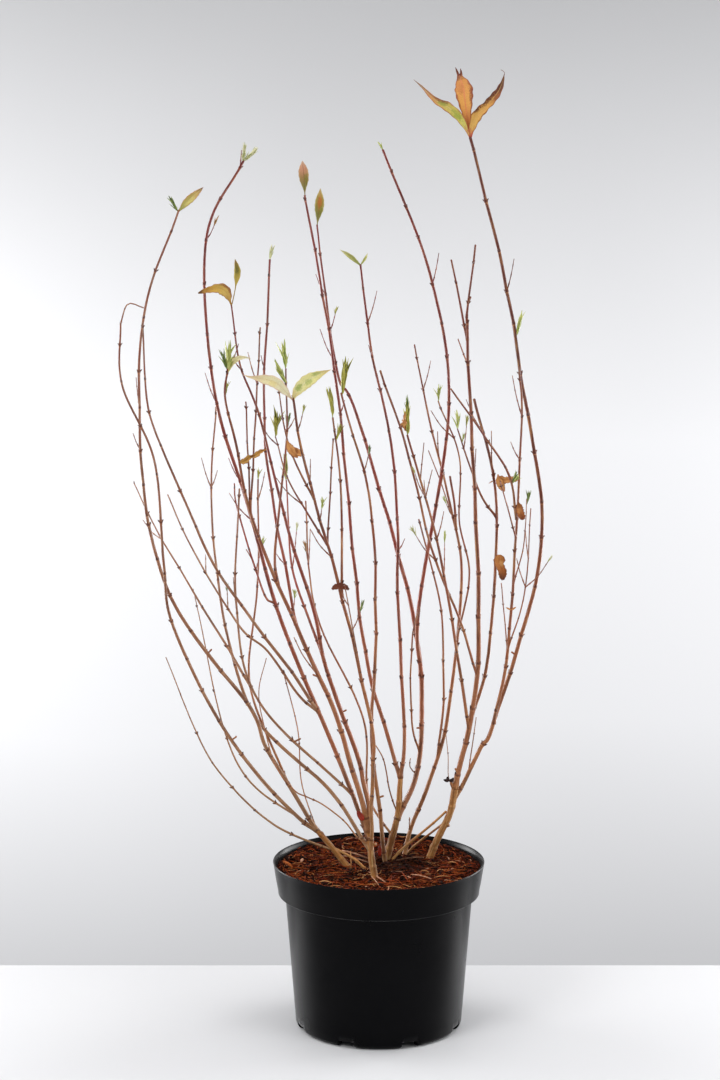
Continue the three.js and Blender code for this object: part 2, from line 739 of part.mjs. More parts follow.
// Each crown, and each shoot that is a mass of its own: its stems first, so that no twig of one
// comes near a stem of another.
function buildMasses() {
  const masses = [];
  for (const stem of Object.values(STEMS)) {
    if (!TRUNKS.includes(stem.name) && !stem.host) {
      const low = stem.crown ? stem.crown + CLEARANCE : -Infinity;
      const joined = Object.values(STEMS).filter((other) => other.host === stem.name);
      const stretches = [stem, ...joined].map((part) => ({
        stem: part,
        low: part === stem ? low : part.stations[0].z,
        rings: stretch(part, part === stem ? low : -Infinity, Infinity),
      }));
      const name = `${stem.crown ? "crown" : "shoot"}_${stem.name}`;
      stretches.forEach(({ rings }) => addLinks(name, rings));
      masses.push({ name, stretches, solids: stretches.map(({ rings }) => tube(rings, SHOOT_SIDES)) });
    }
  }
  for (const { name, stretches, solids } of masses) {
    solids.push(...stretches.flatMap(({ stem }) => placedLeaves(stem, name)));
  }
  for (const { name, stretches, solids } of masses) {
    solids.push(...stretches.flatMap(({ stem, low }) => grownTwigs(stem, name, low)));
  }
  return masses.map(({ name, stretches, solids }) => {
    const whole = solids.reduce((sum, solid) => sum.add(solid));
    const reach = stretches.flatMap(({ rings }) => rings);
    return { name, solid: cutClear(whole, nearbyLimbs(reach, REACH.mass)) };
  });
}

// ---------------------------------------------------------------- finishes and the whole plant

const FINISHES = {
  pot: { color: 0x202226, roughness: 0.42 },
  root_ball: { color: 0x4f2c1c, roughness: 0.95 },
  trunk: { color: 0x93694a, roughness: 0.82 },
  limb: { color: 0x93694a, roughness: 0.82 },
  cane: { color: 0x8f5a3c, roughness: 0.7 },
  crown: { color: 0x8a4630, roughness: 0.62 },
  shoot: { color: 0x95603f, roughness: 0.7 },
};

function meshOf({ name, solid }) {
  const finish = FINISHES[name] ?? FINISHES[name.split("_")[0]];
  const material = new THREE.MeshStandardMaterial({ ...finish, metalness: 0 });
  const mesh = new THREE.Mesh(geometryOf(solid), material);
  mesh.name = name;
  return mesh;
}

layOutStems();
const weigela = new THREE.Group();
const pieces = [
  { name: "pot", solid: pot() },
  { name: "root_ball", solid: rootBall() },
  ...buildLimbs(),
  ...buildMasses(),
];
pieces.forEach((piece) => weigela.add(meshOf(piece)));

export default weigela;
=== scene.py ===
"""The looks of a potted weigela in late winter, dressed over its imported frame.

The plant is laid out in millimetres, as its source is, and every mesh is made in metres. The canes
and twigs grow by the source's rule, carried on here to buds, spurs and tufts of young leaves.
"""
import math

import bpy
import numpy as np
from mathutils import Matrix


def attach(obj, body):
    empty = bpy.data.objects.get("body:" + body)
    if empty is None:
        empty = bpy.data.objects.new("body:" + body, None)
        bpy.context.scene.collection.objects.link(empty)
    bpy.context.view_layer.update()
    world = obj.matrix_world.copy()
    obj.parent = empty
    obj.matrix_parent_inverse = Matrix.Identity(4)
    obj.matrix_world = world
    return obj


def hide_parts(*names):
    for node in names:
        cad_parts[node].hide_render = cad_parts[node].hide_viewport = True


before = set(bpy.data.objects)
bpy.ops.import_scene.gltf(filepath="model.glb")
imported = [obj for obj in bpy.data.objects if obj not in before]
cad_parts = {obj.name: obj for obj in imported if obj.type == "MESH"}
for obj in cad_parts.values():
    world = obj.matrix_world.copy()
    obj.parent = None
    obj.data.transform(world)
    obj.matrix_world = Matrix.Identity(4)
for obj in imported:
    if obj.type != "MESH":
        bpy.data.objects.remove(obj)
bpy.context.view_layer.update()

MM = 0.001

# ------------------------------------------------------------------ driving sizes, in millimetres

SOIL_TOP = 213.0
POT_HEIGHT = 229.0
RIM_RADIUS = 143.8
COLLAR_RADIUS = 142.5
COLLAR_FOOT_RADIUS = 137.0
COLLAR_FOOT = 185.0
SHOULDER = 182.5
SHOULDER_RADIUS = 127.5
BODY_RADIUS = 126.6
BASE_RADIUS = 115.0
BASE_TOP = 24.0
FOOT_RADIUS = 105.0
LIP = 8.0
WALL = 1.8
FLOOR = 2.5
NOTCHES = 8
FIRST_NOTCH = math.radians(-23.5)
NOTCH_DEPTH = 14.0  # inward from the foot's edge
NOTCH_OVERCUT = 16.0
NOTCH_HALF_WIDTHS = ((-4, 13.0), (9.5, 11.6))  # each after its height
RECESS = 5.0  # of the underside within its ring foot
CREASE = 1.6  # radius of the crease under the collar, and of the collar's lower edge
EDGE = 1.3

FLARE_HEIGHT = 24.0
FLARE_GROWTH = 0.12
RING_SPACING = 32.0  # of the stations that the clearances are worked out with
CURVE_STEPS = 14
TRACK_STEP = 2.0

# The source's growth rule.
FIRST_NODE = 20.0
NODE_SPACING = (44.0, 72.0)
THIN_STEM = 1.6
THIN_SPACING = 0.68
TURN = math.pi / 2
WANDER = 0.5
LOWEST_TWIG = 560.0
TWIG_CHANCE = 0.2
TWIG_LENGTH = (18.0, 56.0)
TWIG_RADIUS = (0.9, 0.6)
TWIG_LEAN = (0.38, 0.66)
TWIG_RISE = 0.35
LEAF_CHANCE = 0.22
LEAF_LENGTH = (12.0, 22.0)
TWIG_GAP = 1.2
LEAF_WIDTH = 0.26
LEAF_SLANT = 0.5
LEAF_SINK = 2.0  # of a twig's leaf into the twig's end
CLEARANCE = 0.3

# First seeds: each stem draws its own numbers from its place in the table.
LEAF_SEED = 1000
TWIG_SEED = 2000
WANDER_SEED = 4000
RELIEF_SEED = 5000
BUD_SEED = 6000
TUFT_SEED = 7000
DRY_LEAF_SEED = 8000
MULCH_SEED = 91

# What is finer than the source's solids.
STOUT_STEM = 4.0
FINE_STEM = 1.2
STOUT_RELIEF = 0.06
SLIM_RELIEF = 0.03
STOUT_SPACING = 3.0  # of the rings that a stem is drawn with
SLIM_SPACING = 5.0
RIDGES = ((2, 95, 0.5), (3, 61, 0.6), (5, 34, 0.6), (7, 23, 0.45), (9, 13, 0.3))  # waves, pitch, share
NODE_STEP = (0.25, 0.5)
NODE_WIDTH = (1.3, 0.35)  # at no radius, and for each millimetre of it; so are the two for buds
NODE_RINGS = (-3.6, -3.0, -2.2, -1.6, -1.1, -0.7, -0.35, 0, 0.35, 0.7, 1.1, 1.6, 2.2, 3.0, 3.6)
CLOSEST_RINGS = 0.25
FORK_SWELL = 0.45
FORK_REACH = (1.5, 2.2)
BUD_LENGTH = (2.8, 0.55)
BUD_RADIUS = (0.7, 0.17)
BUD_SIZE = (0.8, 1.25)
BUD_LEAN = (0.45, 0.8)
BUD_SEAT = 0.75  # of the stem's radius
FINE_BUD = 0.55
LOWEST_BUD = 40.0  # above the soil
TWIG_TAPER = 0.8
TWIG_NODES = (9.0, 13.0)  # the first one's place, and their spacing
TWIG_SWELL = 0.55
GRAIN_SHIFT = 1000  # sets the bark's pattern apart from one stem to the next
TIP_CAP = 0.6
LEAF_GRID = (36, 8)
LEAF_TURN = 2.4  # radians from one leaf of a tuft to the next
TUFT_STEM = 0.42  # the share of a tuft's length that its leaves spring from
TUFT_LEAF = (0.5, 0.85)
TUFT_WIDTH = (0.18, 0.27)
TUFT_LEAN = (0.04, 0.4)
POT_SEGMENTS = 144
SOIL_GRID = (64, 168)
CHIP_LIFT = (0.2, 3.2)
CHIP_ARCH = (-1.5, 2.2)
CHIP_TILT = (-0.16, 0.16)
CHIP_TWIST = (-0.5, 0.5)
EDGE_CHIP = 16  # the longest by the pot's wall
STRAY_LIFT = 4.5
SIDES = {"trunk": 28, "limb": 16, "cane": 14, "shoot": 12, "thin": 9, "twig": 7, "bud": 6}


def stem(path, depth, radii, foot=None, source=None, at=None, crown=None, leaves=(), bark="brown"):
    """One stem: its path (x, z) from the front, the depth y of its tip, its radii at foot and tip, and
    where it springs from. Leaves are (height, lean in degrees, length, look)."""
    return {"path": path, "depth": depth, "radii": radii, "foot": foot, "source": source, "at": at,
            "crown": crown, "leaves": leaves, "bark": bark}


STEMS = {
    "trunk_front": stem([(-11, 256), (-14, 282)], -46, (4.4, 4.3), foot=(-5, -50), bark="tan"),
    "trunk_left": stem([(-61, 242), (-84, 270)], 0, (4.0, 3.7), foot=(-39, 10), bark="tan"),
    "trunk_middle": stem([(25, 275), (30, 335)], 35, (5.3, 3.4), foot=(10, 45), bark="tan"),
    "trunk_right": stem([(81, 243), (97, 281), (105, 320)], 35, (4.8, 4.7), foot=(70, 55), bark="tan"),
    "limb_left": stem([(-35, 230), (-65, 245)], 10, (2.0, 1.8), foot=(-15, 0), bark="tan"),
    "limb_slanting": stem([(33, 232), (62, 258), (93, 285)], 45, (2.0, 1.6), foot=(15, 40), bark="tan"),
    "limb_slanting_back": stem([(55, 233), (90, 268)], 50, (1.7, 1.5), foot=(38, 80), bark="tan"),

    "far_left": stem(
        [(-108, 288), (-160, 345), (-220, 435), (-275, 560), (-285, 640), (-295, 780), (-335, 880),
         (-335, 960)],
        -60, (2.65, 1.25), source="trunk_left", at=270, crown=620, bark="pale"),
    "left": stem(
        [(-150, 380), (-175, 440), (-270, 570), (-310, 695), (-320, 855), (-310, 980), (-265, 1105)],
        30, (2.95, 1.4), source="trunk_left", at=270, crown=700, bark="pale",
        leaves=[(1103, -30, 26, "dark"), (1103, 45, 50, "tan")]),
    "left_back": stem(
        [(-70, 335), (-165, 420), (-210, 545), (-230, 705), (-225, 835)],
        140, (2.75, 1.15), source="trunk_front", at=255, crown=600, bark="pale"),
    "left_tall": stem(
        [(-55, 380), (-130, 560), (-175, 715), (-220, 870), (-230, 1065), (-180, 1170)],
        50, (3.2, 1.65), source="trunk_front", at=270, crown=575, bark="red",
        leaves=[(1168, 10, 28, "pale"), (1168, 48, 30, "pale")]),
    "left_front": stem(
        [(-115, 495), (-210, 635), (-255, 740), (-295, 850), (-300, 965)],
        -130, (2.35, 1.1), source="left_tall", at=440, crown=700, bark="pale"),
    "left_low": stem(
        [(-160, 455), (-190, 585), (-185, 740)],
        -20, (1.95, 1.25), source="left_tall", at=330, crown=465, bark="pale"),
    "inner_left": stem(
        [(-22, 323), (-37, 372), (-55, 440), (-90, 525), (-160, 700), (-185, 820), (-196, 873),
         (-192, 908)],
        -150, (3.8, 1.3), source="trunk_front", at=282, crown=700,
        leaves=[(787, 62, 40, "ribbon"), (872, 4, 24, "olive"), (905, -16, 30, "dark"),
                (907, 8, 42, "fresh"), (902, 42, 46, "curved")]),
    "leafy_left": stem(
        [(-13, 314), (-21, 350), (-30, 390), (-70, 505), (-85, 580), (-120, 695), (-155, 840),
         (-180, 910), (-190, 985)],
        -90, (3.5, 1.05), source="trunk_front", at=282, crown=515, bark="red",
        leaves=[(984, 4, 60, "stalked"), (984, -62, 48, "arched")]),
    "front": stem(
        [(-9, 285), (-11, 319), (-8, 375), (-10, 430), (-45, 595), (-95, 785), (-110, 875)],
        -160, (2.8, 1.6), source="trunk_front", at=252, crown=480, bark="deep",
        leaves=[(625, 62, 24, "bract"), (868, -62, 72, "cream"), (868, 50, 64, "variegated")]),
    "centre_front": stem(
        [(-10, 405), (-5, 505), (-10, 710), (-50, 870)],
        -60, (3.1, 1.3), foot=(10, 30), crown=560, leaves=[(866, 6, 54, "olive")]),
    "centre": stem(
        [(-15, 490), (-35, 645), (-50, 805), (-65, 925), (-100, 1125)],
        100, (2.9, 1.5), source="trunk_middle", at=335, crown=640, bark="red",
        leaves=[(1124, -4, 47, "blush")]),
    "centre_back": stem(
        [(50, 330), (60, 420), (45, 565), (-30, 825), (-55, 875), (-70, 965), (-85, 1085)],
        170, (3.9, 1.2), source="trunk_middle", at=275, crown=700, bark="red",
        leaves=[(1084, 6, 51, "spindle")]),
    "centre_slim": stem(
        [(35, 395), (25, 600), (25, 685), (15, 805), (-10, 920), (-25, 1035)],
        -30, (2.75, 1.4), source="trunk_middle", at=335, crown=620, bark="red",
        leaves=[(1034, -52, 34, "slip"), (1034, 32, 20, "slip")]),
    "right_slim": stem(
        [(55, 565), (95, 835), (70, 1015), (5, 1185)],
        80, (2.9, 1.6), source="centre_back", at=470, crown=800, bark="red",
        leaves=[(1184, -28, 14, "fresh")]),
    "right_back": stem(
        [(47, 260), (69, 313), (93, 391), (110, 520), (115, 620), (95, 720), (70, 820), (50, 920)],
        160, (3.2, 1.1), foot=(35, 65), crown=500),
    "inner_right": stem(
        [(135, 520), (115, 965)], 0, (3.8, 2), source="trunk_right", at=320, crown=850),
    "right_middle": stem(
        [(150, 510), (160, 715), (130, 850)], 90, (2.4, 1.9), source="inner_right", at=415, crown=600,
        bark="deep",
        leaves=[(640, 168, 36, "lobed"), (727, 14, 34, "crumpled")]),
    "far_right": stem(
        [(115, 323), (139, 376), (160, 420), (220, 660), (190, 885), (165, 1025), (120, 1200)],
        40, (3, 2), source="trunk_right", at=302, crown=860, bark="deep",
        leaves=[(935, 14, 40, "fresh"), (1199, -46, 103, "lime"), (1199, -9, 90, "amber"),
                (1199, 28, 96, "rust")]),
    "right_front": stem(
        [(175, 530), (185, 820), (180, 905)], -70, (2.4, 1.3), source="far_right", at=410, crown=505,
        leaves=[(727, 155, 26, "hanging")]),

    "back_left": stem([(-175, 465), (-165, 600), (-165, 740)], 90, (1.8, 1.2), source="left", at=330,
                      leaves=[(739, 6, 18, "olive")]),
    "pale": stem([(-150, 805), (-145, 1040)], 30, (2.1, 1.45), source="inner_left", at=570, bark="red",
                 leaves=[(1039, 10, 22, "pale")]),
    "tufted": stem([(-135, 675), (-120, 810), (-120, 905)], -110, (1.9, 1),
                   source="inner_left", at=625,
                   leaves=[(826, 8, 24, "dark"), (885, -24, 38, "fresh"), (904, -6, 40, "fresh")]),
    "front_right": stem([(80, 655), (35, 820)], -110, (2.3, 1.35), source="inner_right", at=405,
                        leaves=[(819, 0, 54, "mixed")]),
    "arched_front": stem([(105, 570), (70, 660), (35, 800), (0, 905)], -150, (1.8, 1.4),
                         source="inner_right", at=480),
    "crossing": stem([(-110, 465), (-150, 520), (-190, 555), (-255, 660), (-285, 725)], 40, (1.9, 0.9),
                     source="left_tall", at=440, bark="pale"),
    "low_left": stem([(-195, 360), (-255, 590)], 80, (1.6, 0.65), source="trunk_left", at=270,
                     bark="pale"),
    "stray_left": stem([(-145, 285), (-225, 380), (-280, 525)], -80, (1.7, 0.65),
                       source="trunk_left", at=240, bark="pale"),
    "thin_left": stem([(-105, 335), (-110, 405), (-130, 485)], 30, (0.9, 0.8),
                      source="trunk_left", at=270),
    "wiry_centre": stem([(-15, 310), (-20, 410), (-80, 540), (-95, 615), (-100, 710)], 90, (1.7, 1.1),
                        source="trunk_middle", at=250),
    "thin_centre": stem([(45, 415), (45, 525), (55, 575)], 20, (1.5, 1.1),
                        source="centre_back", at=365),
    "thin_right": stem([(90, 440), (85, 565), (55, 685)], 90, (1.9, 1.1), source="right_back", at=350),

    "hook": stem([(-325, 985), (-305, 980)], -60, (1.0, 0.8), source="far_left", at=960),
    "inner_left_left": stem([(-170, 865)], -140, (1.3, 1), source="inner_left", at=720),
    "inner_left_right": stem([(-150, 960)], -165, (1.4, 1), source="inner_left", at=720),
    "tall_side": stem([(-155, 600), (-190, 705), (-195, 740)], 40, (1.5, 1.1),
                      source="left_tall", at=585),
    "leafy_side": stem([(-115, 630), (-125, 745)], 40, (2, 1), source="leafy_left", at=525,
                       leaves=[(744, 0, 45, "olive")]),
    "low_side": stem([(-300, 660), (-340, 730)], 140, (1.9, 0.8), source="left_low", at=475),
    "front_first": stem([(-45, 630)], -140, (1.1, 0.7), source="front", at=490),
    "front_second": stem([(-50, 755), (-60, 845)], -140, (1.8, 1.2), source="front", at=610,
                         leaves=[(815, 18, 26, "olive"), (844, -4, 42, "olive")]),
    "front_third": stem([(-60, 815)], -110, (1.3, 1), source="front", at=680),
    "front_fourth": stem([(-115, 755), (-135, 815)], -80, (1.5, 0.8), source="front", at=680,
                         leaves=[(814, 3, 46, "olive")]),
    "front_fifth": stem([(-115, 805), (-130, 885)], -130, (1.5, 0.8), source="front", at=740,
                        leaves=[(803, 100, 24, "dried")]),
    "back_side": stem([(125, 610), (110, 685), (110, 770), (80, 850)], 60, (1.6, 1),
                      source="right_back", at=510, leaves=[(849, 0, 27, "fresh")]),
    "inner_right_left": stem([(95, 1040)], 20, (1.7, 1.2), source="inner_right", at=935),
    "inner_right_right": stem([(125, 1060)], -20, (1.6, 1.35), source="inner_right", at=965),
    "inner_right_spur": stem([(105, 935)], 30, (1.0, 0.8), source="inner_right", at=900),
    "middle_side": stem([(135, 730), (105, 815)], 30, (1.7, 0.9), source="right_middle", at=690,
                        leaves=[(796, 12, 15, "fresh"), (814, -2, 28, "fresh")]),
    "right_first": stem([(160, 620)], -60, (1.0, 0.7), source="right_front", at=515),
    "right_second": stem([(195, 600), (200, 715)], -30, (1.1, 0.8), source="right_front", at=515),
    "right_third": stem([(190, 670), (190, 735)], -90, (1.1, 0.6), source="right_front", at=605,
                        leaves=[(726, 10, 22, "dark")]),
    "right_fourth": stem([(155, 760)], -100, (1.2, 0.8), source="right_front", at=675),
    "right_fifth": stem([(165, 770), (90, 880)], -120, (1.8, 1.1), source="right_front", at=700,
                        leaves=[(750, 22, 20, "clump")]),
    "back_snag": stem([(106, 700), (99, 740)], 126, (1.8, 1.6), source="right_back", at=665),
    "back_hook": stem([(85, 735), (69, 776)], 125, (1.1, 0.7), source="right_back", at=679),
    "back_spur": stem([(82, 801)], 139, (1.0, 0.6), source="right_back", at=765),
    "middle_spur": stem([(131, 786)], 50, (0.9, 0.6), source="middle_side", at=743),
    "middle_twig": stem([(153, 808)], 75, (0.9, 0.6), source="right_middle", at=758),
    "tall_spur": stem([(-178, 655)], 8, (0.8, 0.6), source="tall_side", at=641),
}

# Thin twigs that are finer than the source's.
FINE_STEMS = {
    "arch": stem([(-29, 274), (-43, 292), (-59, 307), (-79, 322), (-98, 331), (-113, 339), (-138, 374),
                  (-155, 438), (-159, 479), (-149, 520)], -60, (1.1, 0.6), source="trunk_front", at=262),
    "low_twig": stem([(21, 298), (14, 323), (10, 349), (5, 369), (-6, 389)], 10, (1.1, 0.8),
                     source="trunk_middle", at=285),
    "centre_twig": stem([(44, 345), (43, 355), (44, 360)], 45, (0.9, 0.6), source="centre_back", at=337),
    "back_twig": stem([(43, 259), (43, 272)], 62, (0.9, 0.7), source="right_back", at=250),
    "first_spur": stem([(57, 808)], -89, (0.9, 0.6), source="front_right", at=760),
    "second_spur": stem([(68, 772)], -81, (0.8, 0.6), source="front_right", at=736),
    "slim_spur": stem([(88, 748)], 74, (0.9, 0.6), source="right_slim", at=694),
    "fork_twig": stem([(129, 388), (133, 420)], 33, (1.0, 0.6), source="far_right", at=340),
    "inner_twig": stem([(-100, 527), (-112, 551)], -78, (1.0, 0.6), source="inner_left", at=499),
    "thin_rise": stem([(96, 335), (95, 365), (92, 395)], 34, (0.7, 0.5), source="trunk_right", at=318),
}

# Broken and cut shoots: the stem, the height, the lean from upright in degrees, length and radius.
STUBS = [
    ("trunk_right", 314, -18, 17, 2.2), ("inner_right", 341, -30, 9, 1.4),
    ("centre_front", 311, 66, 9, 1.4), ("centre_back", 399, -84, 8, 1.3),
    ("inner_left", 499, -62, 10, 1.2), ("inner_right_right", 985, 20, 9, 1.3),
    ("trunk_front", 262, 70, 9, 1.8), ("trunk_right", 262, 62, 10, 1.9),
    ("left_low", 402, 58, 11, 1.3), ("far_left", 398, 48, 10, 1.2),
    ("leafy_left", 446, 60, 8, 1.2), ("left", 512, 40, 9, 1.2), ("far_right", 505, -50, 8, 1.3),
]

# ------------------------------------------------------------------ small helpers


def lerp(low, high, part):
    return low + (high - low) * part


def seeded(seed):
    """A repeatable source of numbers from 0 to 1, the same as the source's."""
    state = [(seed * 2654435761) & 0xFFFFFFFF]

    def draw():
        state[0] = (state[0] * 1664525 + 1013904223) & 0xFFFFFFFF
        return state[0] / 4294967296
    return draw


def unit(vector):
    return vector / np.linalg.norm(vector)


def linear(code):
    """A colour from its "#rrggbb" display code."""
    scaled = [int(code[i:i + 2], 16) / 255 for i in (1, 3, 5)]
    return tuple(v / 12.92 if v <= 0.04045 else ((v + 0.055) / 1.055) ** 2.4 for v in scaled) + (1.0,)


def rgba(colour):
    """A colour from its display code, or a grey from a number."""
    if isinstance(colour, str):
        return linear(colour)
    return colour if isinstance(colour, tuple) else (colour, colour, colour, 1)


def leaning(lean, forward):
    """A direction that leans from upright, in degrees, and comes forward by a share of its length."""
    return unit(np.array([math.sin(math.radians(lean)), forward, math.cos(math.radians(lean))]))


def far_axis(direction):
    """An axis that is far from a direction."""
    return np.array([0.0, 1.0, 0.0]) if abs(direction[1]) < 0.9 else np.array([1.0, 0.0, 0.0])


def around(count):
    return 2 * math.pi * np.arange(count) / count


def between(first, second, angle):
    """The direction at an angle from the first of two that are square to each other."""
    return first * math.cos(angle) + second * math.sin(angle)


def level_pair(angle):
    """Two level directions that are square to each other, the first at an angle from +X."""
    return (np.array([math.cos(angle), math.sin(angle), 0.0]),
            np.array([-math.sin(angle), math.cos(angle), 0.0]))


def place_item(name, data):
    """A mesh, lamp or camera set in the scene."""
    item = bpy.data.objects.new(name, data)
    bpy.context.scene.collection.objects.link(item)
    return item


def ring_faces(rings, sides):
    """The faces between rings of points that follow each other."""
    return [(ring * sides + k, ring * sides + (k + 1) % sides,
             (ring + 1) * sides + (k + 1) % sides, (ring + 1) * sides + k)
            for ring in range(rings - 1) for k in range(sides)]


def closed_faces(rings, sides):
    """The same, with a fan at each end round the two points that come after the rings."""
    faces = ring_faces(rings, sides)
    foot, tip, last = rings * sides, rings * sides + 1, (rings - 1) * sides
    for k in range(sides):
        following = (k + 1) % sides
        faces += [(foot, following, k), (tip, last + k, last + following)]
    return faces


class Shape:
    """The points, faces, face materials and surface coordinates of one mesh, in millimetres. Grain is
    each point's place in a stem that is laid straight, so that bark runs along it."""

    def __init__(self):
        self.points, self.faces, self.marks, self.coordinates, self.grain = [], [], [], [], []
        self.count = 0

    def add(self, points, faces, marks=0, coordinates=None, grain=None):
        points = np.asarray(points, float)
        self.points.append(points)
        offset = self.count
        self.faces.extend(tuple(corner + offset for corner in face) for face in faces)
        self.marks.extend([marks] * len(faces) if isinstance(marks, int) else marks)
        if coordinates is None:
            coordinates = np.zeros((len(points), 2))
        self.coordinates.append(coordinates)
        self.grain.append(points if grain is None else grain)
        self.count += len(points)

    def make(self, name, materials, slot, nodes=()):
        """The finished piece, smooth-shaded, riding on the plant's one body."""
        mesh = bpy.data.meshes.new(name)
        mesh.from_pydata((np.vstack(self.points) * MM).tolist(), [], self.faces)
        for item in materials:
            mesh.materials.append(item)
        mesh.polygons.foreach_set("material_index", self.marks)
        mesh.polygons.foreach_set("use_smooth", [True] * len(self.faces))
        layer = mesh.uv_layers.new(name="surface")
        corners = np.empty(len(mesh.loops), dtype=np.int32)
        mesh.loops.foreach_get("vertex_index", corners)
        layer.data.foreach_set("uv", np.vstack(self.coordinates)[corners].ravel())
        grain = mesh.attributes.new("grain", "FLOAT_VECTOR", "POINT")
        grain.data.foreach_set("vector", (np.vstack(self.grain) * MM).ravel())
        mesh.update()
        piece = place_item(name, mesh)
        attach(piece, "root")
        if nodes:
            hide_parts(*nodes)
        return piece


# ------------------------------------------------------------------ curves


def travelled(points):
    """How far along a line each of its points is."""
    return np.concatenate([[0.0], np.cumsum(np.linalg.norm(np.diff(points, axis=0), axis=1))])


def length_of(points):
    return np.linalg.norm(np.diff(points, axis=0), axis=1).sum()


def even_stations(points, spacing):
    places = travelled(points)
    count = max(1, math.ceil(places[-1] / spacing))
    targets = places[-1] * np.arange(count + 1) / count
    return np.stack([np.interp(targets, places, points[:, k]) for k in range(3)], axis=1)


def frames_along(points):
    """Unit directions along a line, with two unit vectors square to each that turn with it."""
    before = points[np.maximum(np.arange(len(points)) - 1, 0)]
    after = points[np.minimum(np.arange(len(points)) + 1, len(points) - 1)]
    along = after - before
    along /= np.linalg.norm(along, axis=1)[:, None]
    side = far_axis(along[0])
    sides = []
    for direction in along:
        side = unit(side - direction * side.dot(direction))
        sides.append(side)
    sides = np.array(sides)
    return along, sides, np.cross(along, sides)


def smooth_curve(controls):
    """The uniform Catmull-Rom curve through the control points."""
    padded = np.vstack([2 * controls[0] - controls[1], controls, 2 * controls[-1] - controls[-2]])
    spans = len(controls) - 1
    points = []
    for i in range(CURVE_STEPS * spans + 1):
        place = i / CURVE_STEPS
        span = min(int(place), spans - 1)
        t = place - span
        p0, p1, p2, p3 = padded[span:span + 4]
        v1, v2 = 0.5 * (p2 - p0), 0.5 * (p3 - p1)
        points.append(p1 + v1 * t + (3 * (p2 - p1) - 2 * v1 - v2) * t ** 2
                      + (2 * (p1 - p2) + v1 + v2) * t ** 3)
    return np.array(points)


def point_at_height(points, height):
    above = np.nonzero(points[:, 2] >= height)[0]
    if len(above) == 0:
        return points[-1]
    upper = above[0]
    if upper == 0:
        return points[0]
    low, high = points[upper - 1], points[upper]
    return lerp(low, high, (height - low[2]) / (high[2] - low[2]))


def centre_line(row, start):
    """The stem's curve: its path is as drawn, and its depth runs evenly from its start to its tip."""
    route = np.array([[start[0], start[2]], *row["path"]], float)
    places = travelled(route)
    depths = lerp(start[1], row["depth"], places / places[-1])
    return smooth_curve(np.stack([route[:, 0], depths, route[:, 1]], axis=1))


# ------------------------------------------------------------------ laying out the stems


def lay_out_stems(rows, first_seed):
    """Adds to each row its line, its nodes and where it belongs, as the source does."""
    for seed, (name, row) in enumerate(rows.items(), first_seed):
        parent = STEMS.get(row["source"])
        start = point_at_height(parent["line"], row["at"]) if parent else (*row["foot"], SOIL_TOP)
        row["name"], row["seed"] = name, seed
        row["line"] = centre_line(row, start)
        row["stations"] = even_stations(row["line"], RING_SPACING)
        row["track"] = even_stations(row["line"], TRACK_STEP)
        row["frames"] = frames_along(row["track"])
        row["length"] = length_of(row["track"])
        row["pace"] = row["length"] / (len(row["track"]) - 1)
        row["host"] = None
        if parent and not row["crown"]:
            inside = parent["crown"] and row["at"] > parent["crown"]
            row["host"] = parent["host"] or (row["source"] if inside else None)
        tips = [height + length for height, _, length, _ in row["leaves"]]
        row["top"] = max([row["stations"][-1][2], *tips])
        row["nodes"] = nodes_along(row)


def nodes_along(row):
    """Where the stem's pairs of buds sit, and which way each pair faces."""
    random = seeded(row["seed"])
    track = row["track"]
    along, side, across = row["frames"]
    scale = THIN_SPACING if row["radii"][0] < THIN_STEM else 1
    nodes, place, bearing = [], FIRST_NODE, random() * math.pi
    while place < (len(track) - 1) * TRACK_STEP:
        step = int(place // TRACK_STEP)
        nodes.append({"point": track[step], "bearing": bearing, "step": step,
                      "along": along[step], "side": side[step], "across": across[step]})
        place += scale * lerp(*NODE_SPACING, random())
        bearing += TURN + WANDER * (random() - 0.5)
    return nodes


def outward(node, angle):
    return between(node["side"], node["across"], angle)


def radius_at(row, part, height):
    radius = lerp(*row["radii"], part)
    if row["foot"]:
        rise = np.maximum(0, 1 - (height - SOIL_TOP) / FLARE_HEIGHT)
        radius = radius * (1 + FLARE_GROWTH * rise * rise)
    return radius


def is_trunk(name):
    return name.startswith(("trunk_", "limb_"))


def piece_name(row):
    """The frame's node that a stem's upper, or only, stretch belongs to."""
    if is_trunk(row["name"]):
        return row["name"]
    owner = row["host"] or row["name"]
    return ("crown_" if STEMS[owner]["crown"] else "shoot_") + owner


# ------------------------------------------------------------------ clearances, as in the source

links = {"piece": [], "start": [], "end": [], "radius": []}


def add_links(piece, rings):
    for (start, first), (end, second) in zip(rings, rings[1:]):
        links["piece"].append(piece)
        links["start"].append(start)
        links["end"].append(end)
        links["radius"].append(max(first, second))


def gap_to_others(piece, rings):
    others = np.array([name != piece for name in links["piece"]])
    start = np.array(links["start"])[others]
    span = np.array(links["end"])[others] - start
    radius = np.array(links["radius"])[others]
    gap = math.inf
    for point, own in rings:
        part = np.clip(((point - start) * span).sum(1) / (span * span).sum(1), 0, 1)
        nearest = start + span * part[:, None]
        distance = np.linalg.norm(nearest - point, axis=1)
        gap = min(gap, float((distance - own - radius).min()))
    return gap


def station_rings(row, low, high):
    """The stem's stations between two heights, with an end at each height."""
    stations = row["stations"]
    last = len(stations) - 1
    rings = [(point, radius_at(row, i / last, point[2])) for i, point in enumerate(stations)
             if low < point[2] < high]

    def end_at(height):
        upper = int(np.nonzero(stations[:, 2] >= height)[0][0])
        below, above = stations[upper - 1], stations[upper]
        part = (height - below[2]) / (above[2] - below[2])
        return lerp(below, above, part), radius_at(row, (upper - 1 + part) / last, height)
    if low > stations[0][2]:
        rings.insert(0, end_at(low))
    if high < stations[last][2]:
        rings.append(end_at(high))
    return rings


